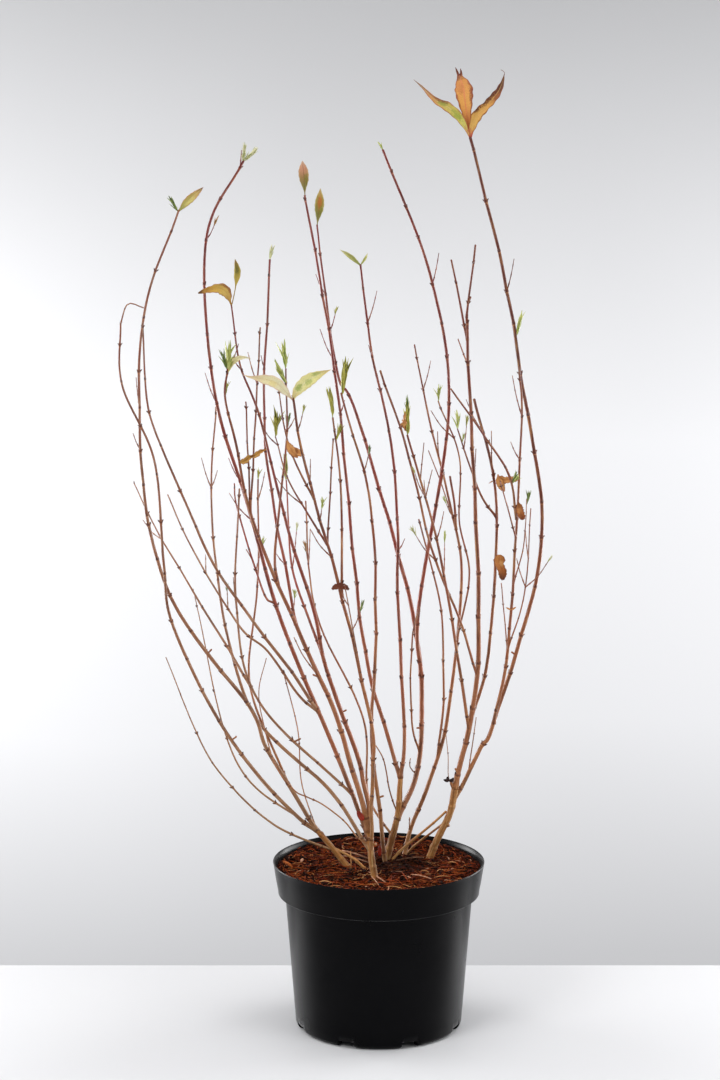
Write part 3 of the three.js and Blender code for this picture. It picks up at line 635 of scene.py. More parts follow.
def leaf_rings(root, direction, length):
    return [(root + direction * length * part, LEAF_WIDTH * length * min(part, 1 - part))
            for part in (0.2, 0.4, 0.6, 0.8, 1.0)]


def twig_rings(root, direction, length):
    tip = unit(direction + np.array([0, 0, TWIG_RISE]))
    middle = root + direction * length / 2
    foot, top = TWIG_RADIUS
    return [(root, foot), (middle, (foot + top) / 2), (middle + tip * length / 2, top)]


def placed_leaves(row, piece):
    """The leaves of a stem that have a place of their own: root, direction, length and look."""
    random = seeded(LEAF_SEED + row["seed"])
    placed = []
    for height, lean, length, look in row["leaves"]:
        root = point_at_height(row["stations"], height)
        slant = LEAF_SLANT * (2 * random() - 1)
        direction = leaning(lean, math.sin(slant))
        rings = leaf_rings(root, direction, length)
        if gap_to_others(piece, rings) > CLEARANCE:
            placed.append((root, direction, length, look))
            add_links(piece, rings)
    return placed


def grown_twigs(row, piece, low):
    """The twigs that the rule gives a stem, each with the length of its leaf, or 0."""
    random = seeded(TWIG_SEED + row["seed"])
    twigs = []
    for index, node in enumerate(row["nodes"]):
        for half in (0, math.pi):
            chance = random()
            length = lerp(*TWIG_LENGTH, random())
            lean = lerp(*TWIG_LEAN, random())
            has_leaf = random() < LEAF_CHANCE
            leaf_length = lerp(*LEAF_LENGTH, random())
            out = outward(node, node["bearing"] + half)
            rings = twig_rings(node["point"], between(node["along"], out, lean), length)
            end = rings[-1][0]
            inside = node["point"][2] > max(low + length, LOWEST_TWIG) and end[2] < row["top"]
            if chance < TWIG_CHANCE and inside and gap_to_others(piece, rings) > TWIG_GAP:
                add_links(piece, rings)
                leaf_direction = unit(end - rings[1][0])
                leaf = leaf_rings(end - leaf_direction * LEAF_SINK, leaf_direction, leaf_length)
                kept = has_leaf and gap_to_others(piece, leaf) > TWIG_GAP
                if kept:
                    add_links(piece, leaf)
                twigs.append({"rings": rings, "leaf": leaf_length if kept else 0,
                              "node": index, "half": half})
    return twigs


def grow():
    """Runs the source's rule over the whole plant, so that each twig falls where its solid is."""
    for row in STEMS.values():
        row["placed"], row["twigs"] = [], []
        if is_trunk(row["name"]):
            add_links(row["name"], station_rings(row, -math.inf, math.inf))
        elif row["crown"]:
            add_links("cane_" + row["name"], station_rings(row, -math.inf, row["crown"]))
    members = []
    for owner in STEMS.values():
        if is_trunk(owner["name"]) or owner["host"]:
            continue
        owner_low = owner["crown"] + CLEARANCE if owner["crown"] else -math.inf
        for row in STEMS.values():
            if row is owner or row["host"] == owner["name"]:
                low = owner_low if row is owner else -math.inf
                row["low"] = low if row is owner else row["stations"][0][2]
                add_links(piece_name(row), station_rings(row, low, math.inf))
                members.append(row)
    for row in members:
        row["placed"] = placed_leaves(row, piece_name(row))
    for row in members:
        row["twigs"] = grown_twigs(row, piece_name(row), row["low"])


# ------------------------------------------------------------------ materials

# The centre of the painted shade among the stems' feet, in metres.
STEM_SHADE_PATCH = (0.022, 0.03)  # metres
NOISE_ROUGHNESS = 0.6


def feed(tree, socket, value):
    """Links a worked-out value to a socket, or writes a plain number or colour on it."""
    if isinstance(value, Value):
        tree.links.new(value.socket, socket)
    else:
        socket.default_value = value


class Value:
    """A number or colour that a material works out over its surface."""

    def __init__(self, tree, socket):
        self.tree, self.socket = tree, socket

    def math(self, operation, other=0.0):
        node = self.tree.nodes.new("ShaderNodeMath")
        node.operation = operation
        feed(self.tree, node.inputs[0], self)
        feed(self.tree, node.inputs[1], other)
        return Value(self.tree, node.outputs[0])

    def __add__(self, other):
        return self.math("ADD", other)

    def __sub__(self, other):
        return self.math("SUBTRACT", other)

    def __mul__(self, other):
        return self.math("MULTIPLY", other)

    def __pow__(self, other):
        return self.math("POWER", other)

    def __abs__(self):
        return self.math("ABSOLUTE")

    def ramp(self, *stops):
        node = self.tree.nodes.new("ShaderNodeValToRGB")
        elements = node.color_ramp.elements
        while len(elements) < len(stops):
            elements.new(0.5)
        for element, (place, colour) in zip(elements, stops):
            element.position = place
            element.color = rgba(colour)
        feed(self.tree, node.inputs["Fac"], self)
        return Value(self.tree, node.outputs["Color"])

    def mix(self, factor, other, blend="MIX"):
        """This colour with a share of another laid over it."""
        node = self.tree.nodes.new("ShaderNodeMix")
        node.data_type = "RGBA"
        node.blend_type = blend
        sockets = {socket.name: socket for socket in node.inputs if socket.enabled}
        feed(self.tree, sockets["Factor"], factor)
        feed(self.tree, sockets["A"], self)
        feed(self.tree, sockets["B"], other if isinstance(other, Value) else rgba(other))
        return Value(self.tree, next(socket for socket in node.outputs if socket.enabled))


class Material:
    """A material with its shader, and the noise and places that its colours are worked out from."""

    def __init__(self, name):
        self.item = bpy.data.materials.new(name)
        self.item.use_nodes = True
        self.tree = self.item.node_tree
        self.shader = self.tree.nodes["Principled BSDF"]

    def set(self, **values):
        """Sets the shader's sockets, with an underscore for each space in a name."""
        for name, value in values.items():
            feed(self.tree, self.shader.inputs[name.replace("_", " ")], value)

    def place(self, output):
        """The parts of a place: the object's own, or its surface coordinates."""
        place = self.tree.nodes.new("ShaderNodeTexCoord")
        split = self.tree.nodes.new("ShaderNodeSeparateXYZ")
        self.tree.links.new(place.outputs[output], split.inputs["Vector"])
        return [Value(self.tree, split.outputs[axis]) for axis in "XYZ"]

    def noise(self, scales, detail=4.0, grain=False):
        """Noise in metres, at one scale or one for each axis: the object's axes, or, with grain, those
        of a stem that is laid straight."""
        if grain:
            source = self.tree.nodes.new("ShaderNodeAttribute")
            source.attribute_name = "grain"
            place = source.outputs["Vector"]
        else:
            place = self.tree.nodes.new("ShaderNodeTexCoord").outputs["Object"]
        mapping = self.tree.nodes.new("ShaderNodeMapping")
        mapping.inputs["Scale"].default_value = scales if isinstance(scales, tuple) else (scales,) * 3
        noise = self.tree.nodes.new("ShaderNodeTexNoise")
        for name, value in (("Scale", 1.0), ("Detail", detail), ("Roughness", NOISE_ROUGHNESS)):
            noise.inputs[name].default_value = value
        self.tree.links.new(place, mapping.inputs["Vector"])
        self.tree.links.new(mapping.outputs["Vector"], noise.inputs["Vector"])
        return Value(self.tree, noise.outputs["Fac"])

    def bump(self, height, strength, distance):
        bump = self.tree.nodes.new("ShaderNodeBump")
        bump.inputs["Strength"].default_value = strength
        bump.inputs["Distance"].default_value = distance
        self.tree.links.new(height.socket, bump.inputs["Height"])
        self.tree.links.new(bump.outputs["Normal"], self.shader.inputs["Normal"])


def bark_material(name, stops, streak, fleck, node_dark, node_pale, roughness, banding=0.7):
    """Bark whose colour changes with height, with patches, pale streaks and dark flecks along the
    stem, and a dark band over a pale one at each node."""
    bark = Material(name)
    long_noise = bark.noise((420, 420, 34), detail=5, grain=True)
    fine_noise = bark.noise((1300, 1300, 240), detail=3, grain=True)
    patch_noise = bark.noise((120, 120, 16), detail=3, grain=True)
    height = bark.place("Object")[2] + bark.noise(24, detail=2) * 0.2
    colour = height.ramp(*stops)
    colour = colour.mix(patch_noise.ramp((0.5, 0), (0.64, 0.6)), fleck)
    colour = colour.mix(long_noise.ramp((0.5, 0), (0.7, 0.7)), streak)
    colour = colour.mix(fine_noise.ramp((0.32, 0.6), (0.46, 0)), fleck)
    ring, near_node, _ = bark.place("UV")
    pale_band = ring.ramp((0.3, 0), (0.37, 0.8 * banding), (0.42, 0))
    dark_band = ring.ramp((0.4, 0), (0.47, banding), (0.53, banding), (0.62, 0))
    colour = colour.mix(pale_band * near_node, node_pale).mix(dark_band * near_node, node_dark)
    bark.set(Base_Color=colour, Specular_IOR_Level=0.35,
             Roughness=long_noise.ramp((0.3, roughness - 0.12), (0.7, roughness + 0.1)))
    bark.bump(long_noise + fine_noise * 0.6, strength=0.7, distance=0.0008)
    return bark.item


def painted_stem_shade(soil, colour):
    """Painted shade: the mulch is darkened in a ragged patch among the feet of the stems, where they shade
    it.
    """
    x, y, _ = soil.place("Object")
    reach = ((x - STEM_SHADE_PATCH[0]) ** 2.0 + (y - STEM_SHADE_PATCH[1]) ** 2.0).math("SQRT")
    ragged = reach + soil.noise(60) * 0.05
    # The dark brown laid over the patch is painted shade.
    return colour.mix(ragged.ramp((0.05, 0.8), (0.105, 0)), "#160805")


def plain_material(name, colour, shade, roughness, scale=400, bump=0.25, specular=0.35, painted_shade=False):
    """One plain colour with a fine mottle of its own shade."""
    plain = Material(name)
    noise = plain.noise(scale)
    mottle = noise.ramp((0.35, shade), (0.62, colour))
    # For the mulch: a darker patch among the stems' feet, which is painted shade.
    if painted_shade:
        mottle = painted_stem_shade(plain, mottle)
    plain.set(Base_Color=mottle, Roughness=roughness, Specular_IOR_Level=specular)
    plain.bump(noise, strength=bump, distance=0.0005)
    return plain.item


def leaf_material(name, along, edge, vein, blotches=()):
    """A leaf whose colour runs through stops from base to tip, with a coloured rim, veins of another
    tone, and blotches: (across, along, half-width, half-length, colour) in shares of the blade."""
    leaf = Material(name)
    across, place, _ = leaf.place("UV")
    fine = leaf.noise(950, detail=3)
    wander = (leaf.noise(170, detail=5) - 0.5) * 0.7
    ragged = leaf.noise(420, detail=6) - 0.5
    off_centre = abs(across - 0.5)
    side_veins = ((place - off_centre * 0.8) * 70.0).math("SINE").ramp((0.86, 0), (1.0, 0.5))
    from_rib = off_centre * 2.0
    veins = side_veins.math("MAXIMUM", from_rib.ramp((0.04, 1), (0.14, 0)))
    colour = (place + wander * 0.35).ramp(*along).mix(veins * 0.6, vein)
    colour = colour.mix((from_rib + wander * 0.8).ramp((0.72, 0), (0.96, 1)), edge)
    for u, v, half_width, half_length, tone in blotches:
        sideways = abs((across - u) * (1 / half_width)) ** 2.0
        lengthways = abs((place - v) * (1 / half_length)) ** 2.0
        reach = sideways + lengthways + ragged * 3.2
        colour = colour.mix(reach.ramp((0.1, 0.9), (1.0, 0)), tone)
    colour = colour.mix(1.0, fine.ramp((0.3, 0.8), (0.6, 1)), "MULTIPLY")
    leaf.set(Base_Color=colour, Roughness=0.5, Specular_IOR_Level=0.3)
    leaf.bump(veins + fine, strength=0.4, distance=0.0006)
    return leaf.item


def pot_material():
    """Charcoal plastic, slightly cloudy, with pale rub marks that run round it."""
    pot = Material("pot_charcoal")
    cloud = pot.noise(14, detail=3)
    rubs = pot.noise((60, 60, 900), detail=4).ramp((0.62, 0), (0.85, 0.3))
    colour = cloud.ramp((0.35, "#030305"), (0.7, "#070709")).mix(rubs, "#222224")
    pot.set(Base_Color=colour, Roughness=cloud.ramp((0.3, 0.26), (0.7, 0.36)), Specular_IOR_Level=0.06,
            Sheen_Weight=0.2, Sheen_Roughness=0.3)
    pot.bump(pot.noise(2600, detail=2), strength=0.12, distance=0.0002)
    return pot.item


def soil_material():
    soil = Material("soil_dark")
    coarse, fine = soil.noise(90, detail=6), soil.noise(520)
    colour = coarse.ramp((0.3, "#180905"), (0.52, "#3c160b"), (0.72, "#703016"))
    colour = colour.mix(fine.ramp((0.55, 0), (0.75, 0.5)), "#96481c")
    # The soil too is darkened among the stems' feet: painted shade.
    soil.set(Base_Color=painted_stem_shade(soil, colour), Roughness=0.95, Specular_IOR_Level=0.08)
    soil.bump(coarse + fine, strength=0.9, distance=0.004)
    return soil.item


# ------------------------------------------------------------------ stems, buds and twigs


def tube(shape, centres, radii, sides, frames=None, relief=None, rings_at=None, rounded=True):
    """A closed tube through the centres. Relief scales the radius at each ring and side, and rings_at
    holds the surface coordinates of each ring."""
    along, side, across = frames or frames_along(centres)
    angles, count = around(sides), len(centres)
    scale = np.asarray(radii, float)[:, None] * (np.ones(sides) if relief is None else relief)
    east, north = scale * np.cos(angles), scale * np.sin(angles)
    points = (centres[:, None, :] + side[:, None, :] * east[:, :, None]
              + across[:, None, :] * north[:, :, None])
    places = np.repeat(travelled(centres), sides).reshape(-1, sides)
    grain = np.stack([east, north, places + GRAIN_SHIFT * math.sin(centres[0][0])], axis=2)
    cap = TIP_CAP * radii[-1] if rounded else 0
    ends = np.array([centres[0], centres[-1] + along[-1] * cap])
    coordinates = np.zeros((count * sides + 2, 2))
    if rings_at is not None:
        coordinates[:count * sides] = np.repeat(rings_at, sides, axis=0)
    shape.add(np.vstack([points.reshape(-1, 3), ends]), closed_faces(count, sides), 0, coordinates,
              np.vstack([grain.reshape(-1, 3), grain[0, :1], grain[-1, :1]]))


def bark_relief(places, sides, seed, strength):
    """Long shallow ridges that run along the bark, as a share of the radius."""
    random = seeded(RELIEF_SEED + seed)
    angles = around(sides)
    relief = np.zeros((len(places), sides))
    for waves, spacing, share in RIDGES:
        if waves * 2 < sides:
            turn = random() * 2 * math.pi
            phase = waves * angles[None, :] + 2 * math.pi * places[:, None] / spacing + turn
            relief += share * np.sin(phase + 0.8 * np.sin(phase * 0.5 + turn))
    return 1 + strength * relief


def wander_of(row):
    """A slight sideways step of the stem at each node, as on any real cane."""
    random = seeded(WANDER_SEED + row["seed"])
    steps = [0] + [node["step"] for node in row["nodes"]] + [len(row["track"]) - 1]
    reach = [0.0] + [lerp(*NODE_STEP, random()) * (-1) ** i for i in range(len(row["nodes"]))] + [0.0]
    angle = random() * math.pi
    _, side, across = row["frames"]
    sizes = np.interp(np.arange(len(row["track"])), steps, reach)
    widths = np.linspace(*row["radii"], len(row["track"]))
    return between(side, across, angle) * (sizes * np.minimum(widths, 2.0))[:, None]


def stem_rings(row, low, high):
    """Places along the stem between two heights, close together round its nodes."""
    heights, pace = row["track"][:, 2], row["pace"]
    inside = np.nonzero((heights >= low) & (heights <= high))[0]
    if len(inside) < 2:
        return np.array([])
    first, last = max(inside[0] - 1, 0) * pace, inside[-1] * pace
    spacing = STOUT_SPACING if row["radii"][0] > STOUT_STEM else SLIM_SPACING
    places = set(np.linspace(first, last, max(3, int((last - first) / spacing))).tolist())
    for node in row["nodes"]:
        for offset in NODE_RINGS:
            place = node["step"] * pace + offset * node_width(row)
            if first < place < last:
                places.add(place)
    ordered = sorted(places)
    kept = [ordered[0]]
    for place in ordered[1:]:
        if place - kept[-1] > CLOSEST_RINGS:
            kept.append(place)
    return np.array(kept)


def by_radius(measure, radius):
    return measure[0] + measure[1] * radius


def node_width(row):
    return by_radius(NODE_WIDTH, row["radii"][0])


def along_track(row, places, values):
    """Values that are known at each step of a stem's track, at places between the steps."""
    index = np.asarray(places) / row["pace"]
    return np.stack([np.interp(index, np.arange(len(values)), values[:, k]) for k in range(3)], axis=1)


def draw_stem(shape, row, low, high, sides):
    """The stretch of a stem between two heights, with its swollen nodes and its bark's relief."""
    places = stem_rings(row, low, high)
    if len(places) < 2:
        return
    centres = along_track(row, places, row["track"] + row["wander"])
    frames = tuple(along_track(row, places, values) for values in row["frames"])
    frames = tuple(values / np.linalg.norm(values, axis=1)[:, None] for values in frames)
    radii = np.array([radius_at(row, place / row["length"], centre[2])
                      for place, centre in zip(places, centres)])
    if row["source"]:
        radii = radii * (1 + FORK_SWELL * np.exp(-places / by_radius(FORK_REACH, row["radii"][0])))
    strength = STOUT_RELIEF if row["radii"][0] > STOUT_STEM else SLIM_RELIEF
    relief = bark_relief(places, sides, row["seed"], strength)
    angles, width = around(sides), node_width(row)
    rings_at = np.zeros((len(places), 2))
    for node in row["nodes"]:
        # A swelling, highest beneath the two buds, and a shallow groove above it.
        offset = (places - node["step"] * row["pace"]) / width
        radius = lerp(*row["radii"], node["step"] * row["pace"] / row["length"])
        height = 0.07 + 0.34 / radius if radius > FINE_STEM else 0.2
        pair = np.cos(angles - node["bearing"]) ** 2
        relief += np.exp(-offset ** 2)[:, None] * height * (0.5 + 0.85 * pair)[None, :]
        relief -= 0.06 * np.exp(-((offset - 1.6) / 0.5) ** 2)[:, None]
        # The bark's node bands lie by how far up the node each ring is.
        near = np.abs(offset) < 3.3
        rings_at[near] = np.stack([0.5 + 0.125 * offset[near], np.ones(near.sum())], axis=1)
    tube(shape, centres, radii, sides, frames, relief, rings_at)


def spindle(shape, root, direction, length, radius):
    """A bud: a short tube, thickest near its foot and pointed at its tip."""
    parts = np.array([0.0, 0.2, 0.45, 0.7, 0.9, 1.0])
    widths = radius * np.array([0.7, 1.0, 0.95, 0.65, 0.3, 0.06])
    tube(shape, root + direction * length * parts[:, None], widths, SIDES["bud"], rounded=False)


def draw_buds(shape, row, low, taken):
    """A pair of buds at each node, but for those that have grown into a twig."""
    random = seeded(BUD_SEED + row["seed"])
    for index, node in enumerate(row["nodes"]):
        point = node["point"] + row["wander"][node["step"]]
        radius = lerp(*row["radii"], node["step"] / (len(row["track"]) - 1))
        for half in (0, math.pi):
            size = lerp(*BUD_SIZE, random()) * (FINE_BUD if row["radii"][0] < FINE_STEM else 1)
            lean = lerp(*BUD_LEAN, random())
            if (index, half) in taken or point[2] <= low:
                continue
            out = outward(node, node["bearing"] + half)
            direction = unit(between(node["along"], out, lean))
            spindle(shape, point + out * radius * BUD_SEAT, direction,
                    by_radius(BUD_LENGTH, radius) * size, by_radius(BUD_RADIUS, radius) * size)


def draw_twig(shape, rings):
    """A twig with a bent middle and nodes of its own."""
    line = even_stations(smooth_curve(np.array([point for point, _ in rings])), TRACK_STEP)
    parts = np.linspace(0, 1, len(line))
    radii = lerp(rings[0][1], rings[-1][1] * TWIG_TAPER, parts)
    length = length_of(line)
    relief = np.ones((len(line), SIDES["twig"]))
    first, spacing = TWIG_NODES
    for place in np.arange(first, length - 3, spacing):
        relief += TWIG_SWELL * np.exp(-((parts * length - place) / NODE_WIDTH[0]) ** 2)[:, None]
    tube(shape, line, radii, SIDES["twig"], relief=relief)


# ------------------------------------------------------------------ leaves


def blade(shape, root, direction, face, length, width, bend=0.4, fold=0.35, twist=0.0, wave=0.12,
          peak=(0.8, 1.15), teeth=0.0, rows=12, columns=4, thickness=0.35, mark=0, margin=None, phase=0.0,
          crumple=0.0):
    """A leaf: closed and thin, folded along its rib, bent along its length and pointed at both ends.
    Peak holds the powers of the outline, wide near its foot and drawn out at its tip."""
    face = unit(face - direction * direction.dot(face))
    side = np.cross(direction, face)
    parts = np.linspace(0, 1, rows + 1)
    top = peak[0] / (peak[0] + peak[1])
    outline = (parts / top) ** peak[0] * ((1 - parts) / (1 - top)) ** peak[1]
    outline = np.maximum(outline, 0.015)
    turn = bend * parts
    spread, rise = np.sin(turn) / bend, (1 - np.cos(turn)) / bend
    centres = root + length * (spread[:, None] * direction - rise[:, None] * face)
    normals = np.cos(turn)[:, None] * face + np.sin(turn)[:, None] * direction
    rolls = twist * parts
    sideways = np.cos(rolls)[:, None] * side + np.sin(rolls)[:, None] * normals
    normals = np.cos(rolls)[:, None] * normals - np.sin(rolls)[:, None] * side
    across = np.linspace(-1, 1, columns + 1)
    points, coordinates = [], []
    for i, part in enumerate(parts):
        half = 0.5 * width * outline[i] * (1 + teeth * (-1) ** i)
        ripple = wave * np.sin(9 * part + phase) * across * np.abs(across)
        ripple = ripple + crumple * np.sin(17 * part + 2 * phase + 4 * across)
        offset = across[:, None] * half * math.cos(fold) * sideways[i]
        lift = (np.abs(across) * math.sin(fold) + ripple)[:, None] * half * normals[i]
        points.append(centres[i] + offset + lift)
        coordinates.append(np.stack([0.5 + 0.5 * across, np.full(columns + 1, part)], axis=1))
    add_sheet(shape, np.array(points), normals, coordinates, thickness, mark, margin)


def any_square(direction, angle):
    """A unit vector square to a direction, turned by an angle about it."""
    first = unit(np.cross(direction, far_axis(direction)))
    return between(first, np.cross(direction, first), angle)


def draw_tuft(shape, root, direction, length, seed, count=11):
    """A shoot of young leaves, packed close like a long bud, with a few tips that stand out."""
    random = seeded(TUFT_SEED + seed)
    for i in range(count):
        out = any_square(direction, i * LEAF_TURN + random())
        start = TUFT_STEM * length * (i / count)
        lean = lerp(*TUFT_LEAN, random() ** 1.5)
        heading = unit(between(direction, out, lean))
        own = min(length - start, length * lerp(*TUFT_LEAF, random()))
        every_third = int(i % 3 == 2)  # is as pale as the leaves' margins
        blade(shape, root + direction * start + out * 0.3, heading, -out, own * 0.97,
              own * lerp(*TUFT_WIDTH, random()), bend=lerp(-0.5, 0.2, random()), fold=0.65,
              twist=lerp(-0.4, 0.4, random()), wave=0.1, peak=(0.7, 1.3), rows=6, thickness=0.25,
              mark=every_third, margin=1, phase=6 * random())


def draw_leaf(shape, root, direction, length, form, phase):
    """A leaf of a drawn form: its rib wanders aside and its blade is as wide as the form says, both in
    shares of its length. It is folded along its rib, and its edges ripple and are a little jagged."""
    rows, columns = LEAF_GRID
    parts = np.linspace(0, 1, rows + 1)
    face = np.array([form.get("turn", 0.0), -1.0, 0.0])
    face = unit(face - direction * direction.dot(face))
    side = np.cross(direction, face)
    rib = np.array(form["rib"], float)
    places = travelled(rib)
    ahead = np.interp(parts, places / places[-1], rib[:, 0])
    aside = np.interp(parts, places / places[-1], rib[:, 1])
    half = np.interp(parts, *zip(*form["half"]))
    for values in (ahead, aside, half):
        for _ in range(2):
            values[1:-1] = 0.25 * (values[:-2] + values[2:]) + 0.5 * values[1:-1]
    bow = form.get("bow", 0.1) * np.sin(math.pi * parts)
    root = root + np.array([form.get("shift", 0.0), 0.0, 0.0])
    centres = root + length * (direction * ahead[:, None] + side * aside[:, None] + face * bow[:, None])
    tangents = np.gradient(centres, axis=0)
    tangents /= np.linalg.norm(tangents, axis=1)[:, None]
    sideways = np.cross(tangents, face)
    sideways /= np.linalg.norm(sideways, axis=1)[:, None]
    normals = np.cross(sideways, tangents)
    fold, wave, jag = form.get("fold", 0.4), form.get("wave", 0.12), form.get("jag", 0.04)
    across = np.linspace(-1, 1, columns + 1)
    points, coordinates = [], []
    for i, part in enumerate(parts):
        teeth = 1 + jag * np.sin(47 * part + phase + 3 * across) * np.abs(across)
        ripple = wave * np.sin(11 * part + phase + 0.9 * across) * np.abs(across) ** 1.5
        reach = half[i] * length
        points.append(centres[i] + (across * teeth * reach)[:, None] * sideways[i]
                      + ((fold * np.abs(across) + ripple) * reach)[:, None] * normals[i])
        coordinates.append(np.stack([0.5 + 0.5 * across, np.full(columns + 1, part)], axis=1))
    add_sheet(shape, np.array(points), normals, coordinates, 0.3)


def add_sheet(shape, upper, normals, coordinates, thickness, mark=0, margin=None):
    """A thin closed sheet from a grid of points: its upper side, the side below it and its rim."""
    rows, stride = upper.shape[0] - 1, upper.shape[1]
    columns = stride - 1
    lower = upper - normals[:, None, :] * thickness
    count = (rows + 1) * stride
    faces, marks = [], []
    for i in range(rows):
        for k in range(columns):
            a, b = i * stride + k, i * stride + k + 1
            faces.append((a, b, b + stride, a + stride))
            faces.append((count + a, count + a + stride, count + b + stride, count + b))
            outer = margin is not None and k in (0, columns - 1)
            marks.extend([margin if outer else mark] * 2)
    rim = (list(range(stride)) + [i * stride + columns for i in range(1, rows + 1)]
           + [rows * stride + k for k in range(columns - 1, -1, -1)]
           + [i * stride for i in range(rows - 1, 0, -1)])
    for first, second in zip(rim, rim[1:] + rim[:1]):
        faces.append((second, first, count + first, count + second))
        marks.append(mark if margin is None else margin)
    shape.add(np.vstack([upper.reshape(-1, 3), lower.reshape(-1, 3)]), faces, marks,
              np.vstack(coordinates * 2))


def draw_dry_leaf(shape, root, direction, length, width, seed):
    """A withered leaf, crumpled, rolled and twisted."""
    random = seeded(DRY_LEAF_SEED + seed)
    blade(shape, root, direction, any_square(direction, 6.28 * random()), length, width,
          bend=0.5 * lerp(0.7, 1.3, random()), fold=0.8, twist=0.5 * lerp(0.5, 1.3, random()), wave=0.5,
          teeth=0.1, rows=18, columns=8, thickness=0.35, phase=6.28 * random(), crumple=0.35)


# ------------------------------------------------------------------ pot


def arc(centre, radius, start, end, steps):
    """Points on an arc in the profile's plane; angles in degrees."""
    angles = np.radians(np.linspace(start, end, steps + 1))
    return [(centre[0] + radius * math.cos(a), centre[1] + radius * math.sin(a)) for a in angles]


def pot_profile():
    """The pot's section from the middle of its underside, up its outside, over the rim and back down."""
    outside = [(0, RECESS), (FOOT_RADIUS - 10, RECESS), (FOOT_RADIUS - 7, 0), (FOOT_RADIUS, 0)]
    outside += arc((FOOT_RADIUS, 9), 9, -75, -15, 5)
    outside += [
        (BASE_RADIUS - 0.6, BASE_TOP - 5), (BASE_RADIUS, BASE_TOP),
        (lerp(BASE_RADIUS, BODY_RADIUS, 0.33), lerp(BASE_TOP, SHOULDER, 0.31)),
        (lerp(BASE_RADIUS, BODY_RADIUS, 0.67), lerp(BASE_TOP, SHOULDER, 0.63)),
        (BODY_RADIUS, SHOULDER - 10),
    ]
    outside += arc((SHOULDER_RADIUS + CREASE, SHOULDER - CREASE), CREASE, 180, 90, 4)
    outside += arc((COLLAR_FOOT_RADIUS - EDGE, COLLAR_FOOT + EDGE), EDGE, -80, 0, 4)
    outside += [(COLLAR_FOOT_RADIUS + 0.4, COLLAR_FOOT + 6),
                (lerp(COLLAR_FOOT_RADIUS, COLLAR_RADIUS, 0.5), lerp(COLLAR_FOOT, POT_HEIGHT - LIP, 0.5)),
                (COLLAR_RADIUS, POT_HEIGHT - LIP)]
    outside += arc((RIM_RADIUS - 0.8, POT_HEIGHT - 0.8), 0.8, -30, 90, 5)
    inside = [(RIM_RADIUS - WALL, POT_HEIGHT - 0.4), (COLLAR_RADIUS - WALL, POT_HEIGHT - LIP),
              (COLLAR_FOOT_RADIUS - WALL, COLLAR_FOOT + WALL), (SHOULDER_RADIUS - WALL, SHOULDER + WALL),
              (BODY_RADIUS - WALL, SHOULDER - 10), (BASE_RADIUS - WALL, BASE_TOP),
              (FOOT_RADIUS - WALL, RECESS + FLOOR), (0, RECESS + FLOOR)]
    return outside + inside


def lathe(shape, profile, segments):
    """The profile turned about the pot's axis; it starts and ends on the axis."""
    angles = around(segments)
    rings = [np.stack([r * np.cos(angles), r * np.sin(angles), np.full(segments, z)], axis=1)
             for r, z in profile[1:-1]]
    ends = np.array([[0, 0, profile[0][1]], [0, 0, profile[-1][1]]], float)
    shape.add(np.vstack(rings + [ends]), closed_faces(len(rings), segments))


def cut_notches(piece):
    """Cuts the drainage notches, a little narrower at their tops, out of the pot's foot."""
    cutter = Shape()
    near, far = FOOT_RADIUS - NOTCH_DEPTH, FOOT_RADIUS + NOTCH_OVERCUT
    for i in range(NOTCHES):
        out, side = level_pair(2 * math.pi * i / NOTCHES + FIRST_NOTCH)
        corners = [out * reach + side * half + np.array([0, 0, height])
                   for height, width in NOTCH_HALF_WIDTHS
                   for reach, half in ((near, -width), (far, -width), (far, width), (near, width))]
        cutter.add(corners, [(3, 2, 1, 0), (4, 5, 6, 7), *ring_faces(2, 4)])
    mesh = bpy.data.meshes.new("notches")
    mesh.from_pydata((np.vstack(cutter.points) * MM).tolist(), [], cutter.faces)
    wedges = place_item("notches", mesh)
    cut = piece.modifiers.new("notches", "BOOLEAN")
    cut.object = wedges
    cut.operation = "DIFFERENCE"
    cut.solver = "EXACT"
    evaluated = piece.evaluated_get(bpy.context.evaluated_depsgraph_get())
    cut_mesh = bpy.data.meshes.new_from_object(evaluated)
    piece.modifiers.clear()
    piece.data = cut_mesh
    bpy.data.objects.remove(wedges)


# ------------------------------------------------------------------ soil and mulch


def soil_height(x, y):
    """The mulch's surface: a low mound round the stems, hollows and bumps, and a rise to the wall."""
    reach = np.hypot(x, y)
    mound = 2.6 * np.exp(-(reach / 62.0) ** 2)
    bumps = (1.3 * np.sin(x / 9.1 + 1.7 * np.sin(y / 13.0)) * np.cos(y / 10.7 + 0.9)
             + 0.8 * np.sin(x / 3.9 + y / 5.1) + 0.5 * np.cos(x / 2.3 - y / 2.9))
    edge = (4.0 + 5.0 * np.clip((y - 40) / 80, 0, 1)) * np.clip((reach - 104) / 34, 0, 1)
    return SOIL_TOP + 1.2 + mound + bumps + edge


def on_soil(x, y, lift=0.0):
    return np.array([x, y, float(soil_height(x, y)) + lift])


def soil_disc():
    """The soil's uneven top, and the skirt and flat underside that close it below."""
    rings, segments = SOIL_GRID
    outer = COLLAR_RADIUS - WALL - 1.2
    angles = around(segments)
    points = [on_soil(0.0, 0.0)]
    for ring in range(1, rings + 1):
        reach = outer * ring / rings
        for angle in angles:
            points.append(on_soil(reach * math.cos(angle), reach * math.sin(angle)))
    skirt, foot = outer - 5.5, COLLAR_FOOT + 6
    points += [[skirt * math.cos(a), skirt * math.sin(a), foot] for a in angles]
    points.append([0, 0, foot])
    faces = [(0, 1 + k, 1 + (k + 1) % segments) for k in range(segments)]
    for ring in range(rings):
        base = 1 + ring * segments
        for k in range(segments):
            following = (k + 1) % segments
            faces.append((base + k, base + segments + k, base + segments + following, base + following))
    last = 1 + rings * segments
    faces += [(last + segments, last + (k + 1) % segments, last + k) for k in range(segments)]
    shape = Shape()
    shape.add(points, faces)
    return shape


